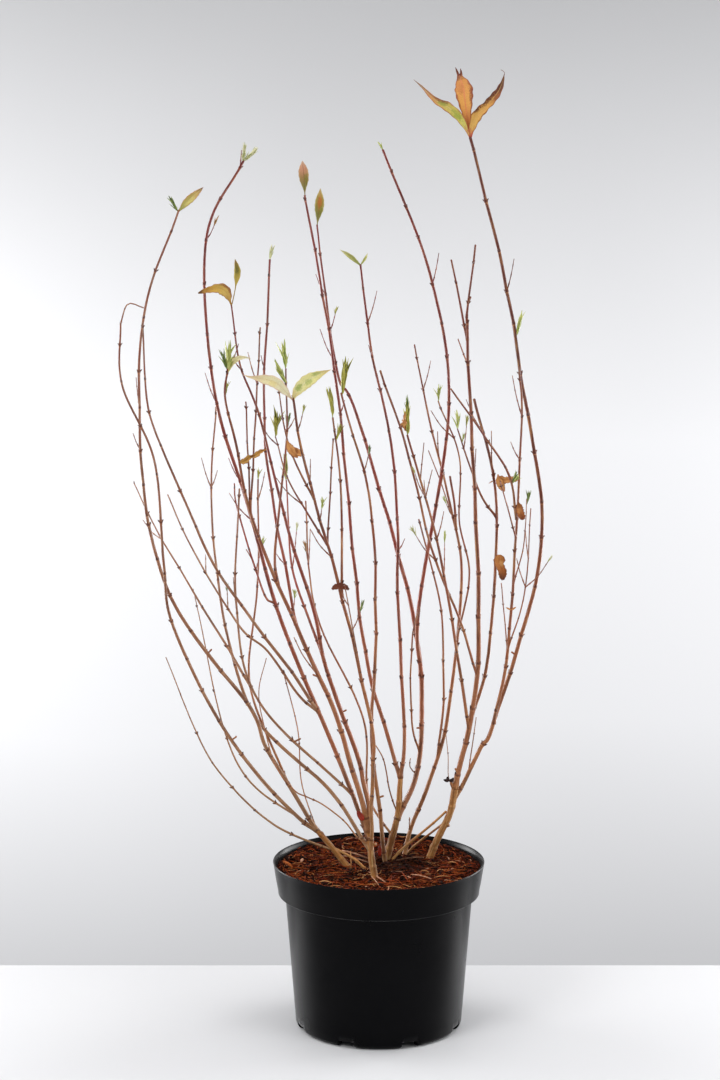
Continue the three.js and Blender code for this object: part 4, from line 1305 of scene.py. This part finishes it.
def chip(shape, centre, heading, length, width, thickness, arch, tilt, twist):
    """A strip of bark or a fibre: a four-sided bar that bends along its length."""
    parts = np.linspace(-0.5, 0.5, 5)
    line, side = level_pair(heading)
    up = np.array([0, 0, 1.0])
    centres = (centre + line * (parts * length)[:, None]
               + up * (arch * (0.25 - parts ** 2) * 4 + tilt * parts * length)[:, None]
               + side * (twist * parts ** 2 * length)[:, None])
    roll = twist * 1.5
    points = []
    for middle, half in zip(centres, width * np.array([0.45, 0.9, 1.0, 0.85, 0.35])):
        wide = between(side, up, roll) * half * 0.5
        thick = between(up, -side, roll) * thickness * 0.5
        points += [middle + wide, middle + thick, middle - wide, middle - thick]
    shape.add(points, [(3, 2, 1, 0), (16, 17, 18, 19), *ring_faces(5, 4)])


# Dry stalks and chips that lie on top of the mulch: (x, y), heading, length, width and kind.
STRAYS = [
    (-4, -52, -66, 56, 2.6, "stalks"), (-7, -66, -77, 44, 1.7, "stalks"), (56, -45, -38, 34, 2.6, "stalks"),
    (34, -52, -80, 50, 1.9, "mulch_orange"), (44, 35, 22, 41, 3.4, "stalks"),
    (-34, 55, -48, 52, 3.2, "stalks"), (-32, 32, -45, 49, 3.0, "stalks"), (-125, 4, -64, 30, 6.0, "fibres"),
    (-72, -71, -10, 16, 2.2, "straws"), (62, -20, -25, 12, 2.2, "straws"), (49, 63, 14, 14, 1.8, "straws"),
    (101, 23, -12, 13, 2.0, "straws"), (-107, -12, -7, 26, 1.3, "fibres"),
    (-105, 33, 80, 12, 4.5, "stalks"), (-60, -40, 12, 30, 1.3, "fibres"), (85, -50, 8, 22, 1.4, "straws"),
    (-20, -90, 15, 24, 1.3, "fibres"), (20, -95, -20, 20, 1.5, "straws"),
]
UPRIGHT_STRAW = (-38, -16)

# What the mulch is made of: count, lengths, widths, thicknesses, colour and shade.
MULCH = {
    "mulch_dark": (900, (6, 20), (1.6, 4.2), (0.8, 1.8), "#2e1006", "#160703"),
    "mulch_red": (1100, (7, 24), (1.2, 3.2), (0.6, 1.4), "#68240e", "#3c1308"),
    "mulch_orange": (850, (8, 26), (0.7, 2.2), (0.5, 1.0), "#a2461b", "#6e290f"),
    "fibres": (620, (10, 34), (0.45, 0.9), (0.4, 0.7), "#c26a32", "#863e18"),
    "straws": (110, (12, 34), (0.7, 1.3), (0.5, 0.9), "#e2a870", "#b47240"),
    "stalks": (40, (10, 26), (1.0, 2.0), (0.6, 1.2), "#e0ac8c", "#aa7052"),
}


def mulch():
    """Bark chips and coir fibres strewn over the soil, joined by colour."""
    random = seeded(MULCH_SEED)
    outer = COLLAR_RADIUS - WALL - 5
    shapes = {}
    for kind, (count, lengths, widths, thicknesses, *_) in MULCH.items():
        shape = shapes[kind] = Shape()
        for _ in range(count):
            reach = outer * math.sqrt(random())
            angle = 2 * math.pi * random()
            x, y = reach * math.cos(angle), reach * math.sin(angle)
            length = lerp(*lengths, random() ** 1.6)
            heading = math.pi * random()
            if reach + length / 2 > outer:
                heading = angle + math.pi / 2 + 0.5 * (random() - 0.5)
                length = min(length, EDGE_CHIP)
            centre = on_soil(x, y, lerp(*CHIP_LIFT, random() ** 2))
            chip(shape, centre, heading, length, lerp(*widths, random()), lerp(*thicknesses, random()),
                 arch=lerp(*CHIP_ARCH, random()), tilt=lerp(*CHIP_TILT, random()),
                 twist=lerp(*CHIP_TWIST, random()))
    for x, y, heading, length, width, kind in STRAYS:
        chip(shapes[kind], on_soil(x, y, STRAY_LIFT), math.radians(heading), length, width, 0.7 * width,
             arch=2.0, tilt=0.0, twist=0.12)
    foot = np.array([*UPRIGHT_STRAW, SOIL_TOP])
    tube(shapes["straws"], foot + np.array([[0, 0, 0], [0.4, -0.5, 17], [-0.3, -0.8, 33]]),
         [0.8, 0.75, 0.5], 5)
    return shapes


# ------------------------------------------------------------------ building the plant


def build_pot():
    shape = Shape()
    lathe(shape, pot_profile(), POT_SEGMENTS)
    piece = shape.make("nursery_pot", [pot_material()], "pot_plastic", ["pot"])
    cut_notches(piece)


def build_soil():
    soil_disc().make("soil_surface", [soil_material()], "soil", ["root_ball"])
    for kind, shape in mulch().items():
        colour, shade = MULCH[kind][-2:]
        # Each kind of mulch is darkened among the stems' feet by painted shade.
        material = plain_material(kind, colour, shade, roughness=0.95, scale=260, bump=0.5,
                                  specular=0.08, painted_shade=True)
        shape.make(kind, [material], "soil")


def bark_materials():
    """The barks by name: their colours by height, streak, fleck, node bands and roughness."""
    dark, pale = "#582618", "#c48854"
    tones = {
        "tan": ([(0.28, "#be8446"), (0.44, "#ba7a42")], "#e8c486", "#5c361c", "#683c22", pale, 0.8, 0.22),
        "brown": ([(0.3, "#b68454"), (0.45, "#aa6c42"), (0.72, "#945034"), (1.05, "#783828")],
                  "#cc9662", "#4a2418", dark, pale, 0.6),
        "red": ([(0.34, "#b6865a"), (0.5, "#a6623e"), (0.74, "#923c2c"), (0.98, "#782a24")],
                "#c07e5c", "#401a14", dark, "#b8704e", 0.5),
        "pale": ([(0.34, "#ac8258"), (0.5, "#a0704c"), (0.76, "#945e42"), (1.08, "#864c38")],
                 "#cea47e", "#542e22", dark, pale, 0.6),
        "deep": ([(0.34, "#b88450"), (0.5, "#a6683e"), (0.78, "#824028"), (1.1, "#62281c")],
                 "#ce925a", "#401c12", dark, pale, 0.55),
    }
    return {name: bark_material("bark_" + name, *looks) for name, looks in tones.items()}


def build_stems():
    barks = bark_materials()
    for row in STEMS.values():
        trunk = is_trunk(row["name"])
        if trunk or row["crown"]:
            node = row["name"] if trunk else "cane_" + row["name"]
            shape = Shape()
            draw_stem(shape, row, -math.inf, row["crown"] or math.inf, SIDES[node.split("_")[0]])
            shape.make(node + "_bark", [barks[row["bark"]]], "old_bark" if trunk else "cane_bark", [node])
    for owner in STEMS.values():
        if is_trunk(owner["name"]) or owner["host"]:
            continue
        shape = Shape()
        for row in STEMS.values():
            if row is owner or row["host"] == owner["name"]:
                low = owner["crown"] if row is owner and owner["crown"] else -math.inf
                sides = SIDES["shoot"] if row["radii"][0] > THIN_STEM else SIDES["thin"]
                draw_stem(shape, row, low, math.inf, sides)
                for twig in row["twigs"]:
                    draw_twig(shape, twig["rings"])
        node = piece_name(owner)
        shape.make(node + "_stems", [barks[owner["bark"]]], "crown_growth", [node])
    build_fine_growth(barks["brown"])


def build_fine_growth(bark):
    """What is finer than the source's twigs: thin shoots, stubs, and the bud pairs of every stem."""
    shoots, stubs, buds = Shape(), Shape(), Shape()
    for row in FINE_STEMS.values():
        draw_stem(shoots, row, -math.inf, math.inf, SIDES["thin"])
    for name, height, lean, length, radius in STUBS:
        track = STEMS[name]["track"]
        step = int(np.argmin(np.abs(track[:, 2] - height)))
        centres = track[step] + leaning(lean, -0.35) * np.linspace(0, length, 6)[:, None]
        widths = radius * np.array([1.25, 1.0, 0.95, 0.95, 1.05, 0.9])
        tube(stubs, centres, widths, SIDES["thin"], rounded=False)
    for row in [*STEMS.values(), *FINE_STEMS.values()]:
        if not is_trunk(row["name"]):
            taken = {(twig["node"], twig["half"]) for twig in row.get("twigs", [])}
            draw_buds(buds, row, SOIL_TOP + LOWEST_BUD, taken)
    shoots.make("fine_shoots", [bark], "crown_growth")
    stubs.make("stubs", [bark], "crown_growth")
    scales = plain_material("bud_scales", "#623020", "#381c14", roughness=0.6)
    buds.make("buds", [scales], "crown_growth")


# ------------------------------------------------------------------ the leaves

# Each form: the rib as (along, aside) and the half-width against the way along it, in shares of the
# leaf's length. "turn" faces it to one side, "bow", "fold", "wave" and "jag" shape its blade, and
# "shift" sets it beside its stem, in millimetres.
FORMS = {
    "lime": {"rib": [(0, 0), (0.083, 0.032), (0.177, 0.064), (0.312, 0.092), (0.5, 0.076), (0.624, 0.029),
                     (0.75, 0.022), (0.884, 0.032), (1.04, 0.024)],
             "half": [(0, 0.013), (0.08, 0.015), (0.17, 0.035), (0.3, 0.056), (0.48, 0.062), (0.63, 0.038),
                      (0.72, 0.028), (0.85, 0.014), (1, 0.002)], "jag": 0.06},
    "amber": {"rib": [(0, 0), (0.33, 0), (0.65, 0.012), (0.76, 0.02), (0.93, -0.005), (1.01, -0.005)],
              "half": [(0, 0.014), (0.1, 0.03), (0.3, 0.056), (0.47, 0.1), (0.62, 0.13), (0.72, 0.135),
                       (0.83, 0.1), (0.92, 0.05), (1, 0.028)], "fold": 0.25, "jag": 0.05},
    "rust": {"rib": [(0, 0), (0.09, -0.039), (0.19, -0.062), (0.3, -0.072), (0.4, -0.042), (0.5, -0.01),
                     (0.6, 0.015), (0.73, 0.04), (0.86, 0.035), (0.96, 0.015), (1, 0)],
             "half": [(0, 0.013), (0.09, 0.035), (0.2, 0.06), (0.31, 0.075), (0.4, 0.068), (0.48, 0.055),
                      (0.6, 0.06), (0.73, 0.048), (0.86, 0.028), (0.96, 0.009), (1, 0.002)], "jag": 0.1},
    "cream": {"rib": [(0, 0), (0.1, 0.035), (0.2, 0.08), (0.33, 0.125), (0.43, 0.155), (0.55, 0.15),
                      (0.67, 0.11), (0.8, 0.062), (0.9, 0.02), (1, 0)],
              "half": [(0, 0.014), (0.1, 0.018), (0.22, 0.06), (0.35, 0.085), (0.45, 0.097), (0.57, 0.092),
                       (0.68, 0.08), (0.8, 0.035), (0.9, 0.016), (1, 0.002)], "jag": 0.05, "bow": 0.16},
    "variegated": {"rib": [(0, 0), (0.09, -0.07), (0.2, -0.1), (0.3, -0.125), (0.5, -0.135), (0.65, -0.115),
                           (0.8, -0.075), (0.92, -0.03), (1, 0)],
                   "half": [(0, 0.014), (0.09, 0.035), (0.2, 0.08), (0.3, 0.108), (0.5, 0.13), (0.65, 0.11),
                            (0.8, 0.062), (0.92, 0.02), (1, 0.002)], "jag": 0.05},
    "curved": {"rib": [(0, 0), (0.297, -0.104), (0.518, -0.042), (0.66, 0.09), (0.727, 0.227)],
               "half": [(0, 0.02), (0.15, 0.05), (0.4, 0.085), (0.65, 0.06), (0.85, 0.025), (1, 0.003)]},
    "tan": {"rib": [(0, 0), (0.3, -0.02), (0.6, -0.01), (1, 0)],
            "half": [(0, 0.014), (0.1, 0.04), (0.25, 0.09), (0.45, 0.108), (0.65, 0.085), (0.85, 0.045),
                     (0.95, 0.015), (1, 0.003)]},
    "stalked": {"rib": [(0, 0), (0.5, 0.03), (0.8, 0.05), (1, 0.02)],
                "half": [(0, 0.011), (0.42, 0.011), (0.5, 0.025), (0.6, 0.066), (0.75, 0.08), (0.88, 0.052),
                         (1, 0.003)], "turn": 0.5},
    "arched": {"rib": [(0, 0), (0.08, 0.08), (0.16, 0.165), (0.26, 0.245), (0.365, 0.29), (0.46, 0.285),
                       (0.56, 0.25), (0.77, 0.07), (0.94, -0.12)],
               "half": [(0, 0.014), (0.12, 0.03), (0.25, 0.11), (0.42, 0.165), (0.56, 0.12), (0.7, 0.085),
                        (0.85, 0.06), (0.95, 0.04), (1, 0.01)], "fold": 0.6, "wave": 0.3, "jag": 0.08},
    "blush": {"rib": [(0, 0), (0.5, 0.015), (1, 0)],
              "half": [(0, 0.014), (0.12, 0.017), (0.25, 0.055), (0.45, 0.13), (0.65, 0.15), (0.8, 0.11),
                       (0.93, 0.04), (1, 0.004)], "fold": 0.8},
    "spindle": {"rib": [(0, 0), (0.5, 0.015), (1, -0.01)],
                "half": [(0, 0.014), (0.1, 0.016), (0.25, 0.06), (0.45, 0.122), (0.6, 0.13), (0.75, 0.1),
                         (0.88, 0.045), (1, 0.003)], "fold": 0.8},
    "slip": {"rib": [(0, 0), (0.4, 0.03), (0.7, 0.02), (1, -0.02)],
             "half": [(0, 0.025), (0.2, 0.06), (0.45, 0.095), (0.7, 0.07), (0.88, 0.025), (1, 0.003)],
             "fold": 0.7},
    "ribbon": {"rib": [(0, 0), (0.25, 0.04), (0.4, -0.02), (0.6, 0.04), (0.8, -0.01), (1, 0.03)],
               "half": [(0, 0.03), (0.15, 0.085), (0.35, 0.095), (0.5, 0.05), (0.65, 0.09), (0.85, 0.05),
                        (1, 0.01)], "fold": 1.1, "wave": 0.5, "jag": 0.14},
    "lobed": {"rib": [(0, 0), (0.3, 0.08), (0.6, 0.02), (1, 0.06)],
              "half": [(0, 0.06), (0.1, 0.2), (0.25, 0.22), (0.4, 0.15), (0.6, 0.16), (0.8, 0.15),
                       (0.95, 0.08), (1, 0.03)], "fold": 0.5, "wave": 0.4, "jag": 0.08, "shift": 4.7},
    "dome": {"rib": [(0, 0), (0.2, -0.17), (0.5, -0.26), (0.8, -0.17), (1, 0)],
             "half": [(0, 0.06), (0.2, 0.15), (0.5, 0.2), (0.8, 0.15), (1, 0.05)], "jag": 0.1, "wave": 0.3},
    "peach": {"rib": [(0, 0), (0.3, 0.04), (0.6, 0.03), (1, -0.05)],
              "half": [(0, 0.03), (0.15, 0.08), (0.3, 0.18), (0.5, 0.21), (0.75, 0.17), (0.9, 0.1),
                       (1, 0.03)], "fold": 0.4, "wave": 0.25, "jag": 0.06},
    "hanging": {"rib": [(0, 0), (0.3, 0.108), (0.6, 0.166), (1.08, 0.2)],
                "half": [(0, 0.025), (0.14, 0.04), (0.26, 0.17), (0.5, 0.2), (0.75, 0.18), (0.9, 0.13),
                         (1, 0.05)], "fold": 0.6, "wave": 0.4, "jag": 0.12},
}


# The colours of each leaf that has a form of its own: stops from its foot to its tip, rim, veins and
# blotches.
LEAF_LOOKS = {
    "lime": ([(0.05, "#d67052"), (0.16, "#ded468"), (0.5, "#d6be60"), (0.68, "#ce8c54"), (0.95, "#8c7060")],
             "#be7454", "#e8d896", [(0.45, 0.32, 0.5, 0.1, "#aab046"), (0.6, 0.55, 0.4, 0.07, "#a8aa4c"),
             (0.95, 0.6, 0.35, 0.12, "#966046")]),
    "amber": ([(0.04, "#ce5448"), (0.2, "#d28248"), (0.5, "#dea04c"), (0.86, "#ce8c42"), (0.97, "#602e1e")],
              "#9e522e", "#d67454", [(0.95, 0.62, 0.2, 0.2, "#8c4628"), (0.3, 0.75, 0.3, 0.12, "#c47a3c")]),
    "rust": ([(0.04, "#ce5448"), (0.16, "#e2b25c"), (0.5, "#dca050"), (0.68, "#92502a"), (0.82, "#582a1c")],
             "#96542a", "#e4b86c", [(0.0, 0.62, 0.55, 0.26, "#5c2c1a"),
             (0.1, 0.36, 0.25, 0.06, "#68341e")]),
    "cream": ([(0.04, "#deb08c"), (0.2, "#fcf4ce"), (0.6, "#faeeba"), (1.0, "#e8c49c")], "#f0c8a8",
              "#eed696", [(0.3, 0.5, 0.3, 0.12, "#f4e29c")]),
    "variegated": ([(0.04, "#e2c478"), (0.25, "#f6eea8"), (0.7, "#f2ea98"), (1.0, "#dcb878")], "#f6e6a4",
                   "#f8f2c4", [(0.45, 0.3, 0.35, 0.1, "#b0be60"), (0.62, 0.52, 0.25, 0.1, "#c4cc74"),
                   (0.3, 0.72, 0.25, 0.1, "#bec470")]),
    "curved": ([(0.1, "#cecc74"), (0.4, "#f6e8ac"), (1.0, "#fcf4ce")], "#ecd896", "#dece82",
               [(0.5, 0.3, 0.3, 0.15, "#b2ba5c")]),
    "tan": ([(0.05, "#969646"), (0.3, "#c0b260"), (0.7, "#bc9c58"), (0.97, "#6e482e")], "#ba845c",
            "#d2c482", [(0.7, 0.4, 0.3, 0.2, "#ccbe6e")]),
    "stalked": ([(0.3, "#966e3c"), (0.5, "#ceb254"), (0.75, "#a0903a"), (0.98, "#78542c")], "#d6be64",
                "#bca450", [(0.5, 0.78, 0.3, 0.12, "#70682a")]),
    "arched": ([(0.06, "#be8c46"), (0.35, "#e6c468"), (0.65, "#dcb04c"), (0.82, "#c48c3a"),
               (0.93, "#683e22")], "#b27838", "#d4ac5c", [(0.9, 0.35, 0.2, 0.2, "#a6683a")]),
    "blush": ([(0.05, "#968254"), (0.25, "#9c9858"), (0.5, "#b08e58"), (0.75, "#d09676"), (1.0, "#d8b096")],
              "#ceaa78", "#8c6038", [(0.75, 0.45, 0.3, 0.22, "#8c843e")]),
    "spindle": ([(0.05, "#a8a46e"), (0.3, "#9c9c56"), (0.6, "#aa9448"), (0.85, "#c4a862"),
                (1.0, "#ceb482")], "#c6bc7c", "#aa6c32", [(0.5, 0.62, 0.3, 0.22, "#c27436"),
                (0.75, 0.4, 0.25, 0.15, "#88883a")]),
    "slip": ([(0.1, "#a8ae60"), (0.6, "#beba70"), (1.0, "#d8d2aa")], "#d6d096", "#92964c"),
    "ribbon": ([(0.1, "#ce9c4e"), (0.5, "#deb05c"), (1.0, "#c4823a")], "#965828", "#a06230",
               [(0.5, 0.5, 0.5, 0.1, "#965c2c")]),
    "lobed": ([(0.1, "#c88446"), (0.6, "#c0743a"), (0.92, "#68321c")], "#96522a", "#a46030",
              [(0.3, 0.35, 0.3, 0.15, "#d69c5c")]),
    "hanging": ([(0.1, "#aa6e3c"), (0.5, "#c47a42"), (0.95, "#964e26")], "#884826", "#965830",
                [(0.6, 0.5, 0.3, 0.15, "#d09256")]),
    "dry": ([(0.1, "#ce8c4e"), (0.5, "#e4a862"), (1.0, "#c47a42")], "#a86236", "#bc7846",
            [(0.5, 0.5, 0.4, 0.14, "#ce8a4e")]),
    "bract": ([(0.2, "#7c4026"), (0.8, "#64301c")], "#783c23", "#783c23"),
    "scale": ([(0.2, "#aa3018"), (0.8, "#802212")], "#84321c", "#6e2014"),
    "char": ([(0.2, "#3c2018"), (0.8, "#22120e")], "#2c1610", "#28140e"),
}


JOINED_LOOKS = ("dry", "bract", "scale", "char")
TWIG_LOOKS = ("fresh", "olive", "pale", "dark", "brown")

# A tuft's leaves and their margins, and how light the shaded part of each is.
TUFT_SHADES = (0.6, 0.75)
TUFT_COLOURS = {
    "fresh": ("#869c3e", "#cace74"),
    "dark": ("#425c2a", "#8c9a4c"),
    "olive": ("#686e2a", "#beb854"),
    "brown": ("#7c6a30", "#b88042"),
    "pale": ("#a8b268", "#e2deac"),
}


# Groups of dry leaves: each from a place (x, z) beside its stem, with its lean in degrees, its length,
# its form and its colour.
HANGING = {
    "dried": [(-4, 12, 151, 25, "peach", "dry"), (2, 5, 130, 20, "peach", "dry")],
    "crumpled": [(-2, 16, 88, 28, "lobed", "dry"), (3, 22, 162, 25, "peach", "dry"),
                 (-3, 29, 178, 19, "ribbon", "bract"), (-2, 14, 240, 9, "slip", "dry")],
    "bract": [(-9, -4, 90, 22, "dome", "bract")],
}


class Leaves:
    """The plant's leaves: tufts joined by colour, and a piece for each leaf with a form of its own."""

    def __init__(self):
        self.tufts = {look: Shape() for look in TUFT_COLOURS}
        self.joined = {look: Shape() for look in JOINED_LOOKS}
        self.singles = {}
        self.seed = 0

    def place(self, root, direction, length, look):
        self.seed += 1
        if look in self.tufts:
            draw_tuft(self.tufts[look], root, direction, length, self.seed)
        elif look == "mixed":
            draw_tuft(self.tufts["olive"], root, direction, length * 0.85, self.seed)
            draw_tuft(self.tufts["dark"], root + direction * length * 0.55, direction, length * 0.45,
                      seed=3, count=4)
            aside = unit(direction + np.array([-0.3, -0.3, 0]))
            draw_dry_leaf(self.joined["dry"], root + direction * 5, aside, length * 0.5, length * 0.2,
                          seed=5)
        elif look == "clump":
            draw_tuft(self.tufts["dark"], root, direction, length, self.seed)
            aside = unit(direction + np.array([0.4, -0.3, 0]))
            draw_tuft(self.tufts["fresh"], root + np.array([1, -2, 1]), aside, length * 0.8, self.seed + 1)
        elif look in HANGING:
            for x, z, lean, own, form, joined in HANGING[look]:
                draw_leaf(self.joined[joined], root + np.array([x, -2, z]), leaning(lean, -0.1), own,
                          FORMS[form], 1.3 * lean)
        else:
            self.add_single(root, direction, length, look)

    def add_single(self, root, direction, length, look):
        self.singles[look] = self.singles.get(look, 0) + 1
        shape = Shape()
        draw_leaf(shape, root, direction, length, FORMS[look], 1.7 * self.seed)
        name = "leaf_{}_{}".format(look, self.singles[look])
        shape.make(name, [leaf_material(name, *LEAF_LOOKS[look])], "crown_growth")
        if look == "amber":
            self.add_horns(root, direction, length)
        if look == "rust":
            hook = np.array([[0, 0, -3], [0.5, -0.5, 1.5], [-1.5, -1, 4], [-4.5, -1.5, 5.5]])
            line = even_stations(smooth_curve(hook + (root + direction * length)), 1.0)
            tube(self.joined["bract"], line, np.full(len(line), 0.35), 5)

    def add_horns(self, root, direction, length):
        """The two dry points that a split leaf ends in, each aside by a share of the leaf's length."""
        for aside, reach in ((-0.045, 1.12), (0.03, 1.1)):
            foot = root + direction * length * 0.93 + np.array([aside * length * 0.4, 0, 0])
            tip = root + direction * length * reach + np.array([aside * length, 0, 0])
            blade(self.joined["bract"], foot, unit(tip - foot), np.array([0.3, -1, 0]),
                  np.linalg.norm(tip - foot), 0.045 * length, bend=0.1, fold=0.6, rows=8)

    def finish(self):
        for look, shape in self.joined.items():
            shape.make("leaves_" + look, [leaf_material("leaf_" + look, *LEAF_LOOKS[look])], "crown_growth")
        for look, shape in self.tufts.items():
            leaf, margin = [
                plain_material(part + look, colour, darker(colour, share), roughness=0.55, scale=300)
                for part, colour, share in zip(("leaf_", "margin_"), TUFT_COLOURS[look], TUFT_SHADES)]
            shape.make("tufts_" + look, [leaf, margin], "crown_growth")


# Scraps of bark scale and withered bracts: place, lean in degrees, length, width and colour.
SCRAPS = [
    ((-21, -57, 299), -30, 16, 9.0, "scale"), ((1, 17, 229), 4, 16, 6.0, "scale"),
    ((96, 27, 332), -72, 8, 4.5, "char"), ((96, 27, 332), 66, 8, 5.0, "char"),
    ((95, 26, 332), -10, 7, 5.0, "char"), ((99, 27, 331), 30, 7, 4.5, "char"),
    ((176, -18, 577), -62, 8, 2.6, "dry"), ((176, -18, 577), 58, 8, 2.6, "dry"),
]


def darker(colour, share):
    return tuple(share * value for value in linear(colour)[:3]) + (1,)


def build_leaves():
    leaves = Leaves()
    for row in STEMS.values():
        for root, direction, length, look in row["placed"]:
            leaves.place(root, direction, length, look)
        for twig in row["twigs"]:
            if twig["leaf"]:
                end = twig["rings"][-1][0]
                direction = unit(end - twig["rings"][1][0])
                look = TWIG_LOOKS[leaves.seed % len(TWIG_LOOKS)]
                leaves.place(end - direction * LEAF_SINK, direction, twig["leaf"], look)
    for place, lean, length, width, look in SCRAPS:
        blade(leaves.joined[look], np.array(place, float), leaning(lean, -0.15), np.array([0.2, -1, 0.1]),
              length, width, bend=0.4, fold=0.4, peak=(0.5, 0.7), rows=8, thickness=0.7)
    leaves.finish()


# ------------------------------------------------------------------ stage, light and camera


TABLE_EDGE = 0.243
BACKDROP = 4.6
STAGE_REACH = 9.0
AMBIENT = 0.22
LENS = 78.4
CAMERA_PLACE = (-0.0255, -3.110, 1.107)
CAMERA_TILT = 8.02  # degrees below level

# Each lamp: its place and size, its power, and the point that it faces.
LAMPS = {
    "key": ((-2.2, -2.6, 3.0), (1.6, 1.6), 64, (0, 0, 0.6)),
    "fill": ((2.8, -2.2, 2.2), (2.0, 2.4), 40, (0, 0, 0.6)),
    "top": ((0, -0.2, 3.6), (3.0, 2.2), 52, (0, 0, 0.3)),
    "side_left": ((-2.2, 0.9, 1.2), (1.4, 2.4), 24, (0, 0, 0.5)),
    "side_right": ((2.2, 0.9, 1.2), (1.4, 2.4), 30, (0, 0, 0.5)),
    "backdrop_left": ((-3.2, 2.4, 0.4), (2.0, 2.0), 96, (-0.9, BACKDROP, 0.7)),
    "backdrop_right": ((3.2, 2.4, 0.4), (2.0, 2.0), 62, (0.6, BACKDROP, -0.2)),
    "strip_left": ((-1.5, 0.9, 0.45), (0.9, 1.2), 62, (0, 0, 0.15)),
    "strip_right": ((1.5, 0.9, 0.45), (0.9, 1.2), 62, (0, 0, 0.15)),
}


def add_area(name, place, size, power, target):
    data = bpy.data.lights.new(name, "AREA")
    data.shape = "RECTANGLE"
    data.size, data.size_y = size
    data.energy = power
    lamp = place_item(name, data)
    lamp.location = place
    x, y, z = unit(np.array(target) - np.array(place))
    lamp.rotation_euler = (math.acos(-z), 0, math.atan2(-x, y))
    lamp.visible_diffuse = not name.startswith("strip")  # the strips only glint on the pot's sides


def build_stage():
    """A pale table top that ends behind the pot, and a plain bright backdrop further off, painted darker
    towards its foot and its top as shade where the light falls off.
    """
    add_stage_sheet("table_top", [(-5.0, 0.0), (TABLE_EDGE, 0.0)], (0.79, 0.79, 0.79))
    # The backdrop's tones, lower at its foot and high up than midway, are painted shade of the light
    # falling off.
    add_stage_sheet("backdrop", [(BACKDROP, -6.0), (BACKDROP, 7.0)], (0.74, 0.92, 0.575))


def add_stage_sheet(name, ends, tones):
    """A wide plain sheet from one (y, z) to another, in metres, with a tone low, midway and high up."""
    mesh = bpy.data.meshes.new(name)
    mesh.from_pydata([(x, y, z) for y, z in ends for x in (-STAGE_REACH, STAGE_REACH)], [], [(0, 1, 3, 2)])
    plain = Material(name)
    cloud = plain.noise(0.8, detail=1) * 0.3
    place = (plain.place("Object")[2] + 1.5 + cloud) * 0.27
    low, middle, high = [(tone, tone, tone * 1.015, 1) for tone in tones]
    # Tones that change with height paint the falloff of light over the sheet: painted shade.
    colour = place.ramp((0.06, low), (0.28, middle), (0.54, middle), (0.93, high))
    plain.set(Base_Color=colour, Roughness=0.55)
    mesh.materials.append(plain.item)
    place_item(name, mesh)


def build_lights():
    world = bpy.data.worlds.new("studio")
    world.use_nodes = True
    world.node_tree.nodes["Background"].inputs["Color"].default_value = (0.93, 0.95, 1.0, 1)
    world.node_tree.nodes["Background"].inputs["Strength"].default_value = AMBIENT
    bpy.context.scene.world = world
    for name, looks in LAMPS.items():
        add_area(name, *looks)


def build_camera():
    data = bpy.data.cameras.new("camera")
    data.sensor_width = 36
    data.lens = LENS
    camera = place_item("camera", data)
    camera.location = CAMERA_PLACE
    camera.rotation_euler = (math.radians(90 - CAMERA_TILT), 0, 0)
    bpy.context.scene.camera = camera
    bpy.context.scene.view_settings.view_transform = "Standard"


lay_out_stems(STEMS, 1)
lay_out_stems(FINE_STEMS, len(STEMS) + 1)
grow()
for grown in (*STEMS.values(), *FINE_STEMS.values()):
    grown["wander"] = wander_of(grown)
build_camera()
build_stage()
build_lights()
build_pot()
build_soil()
build_stems()
build_leaves()
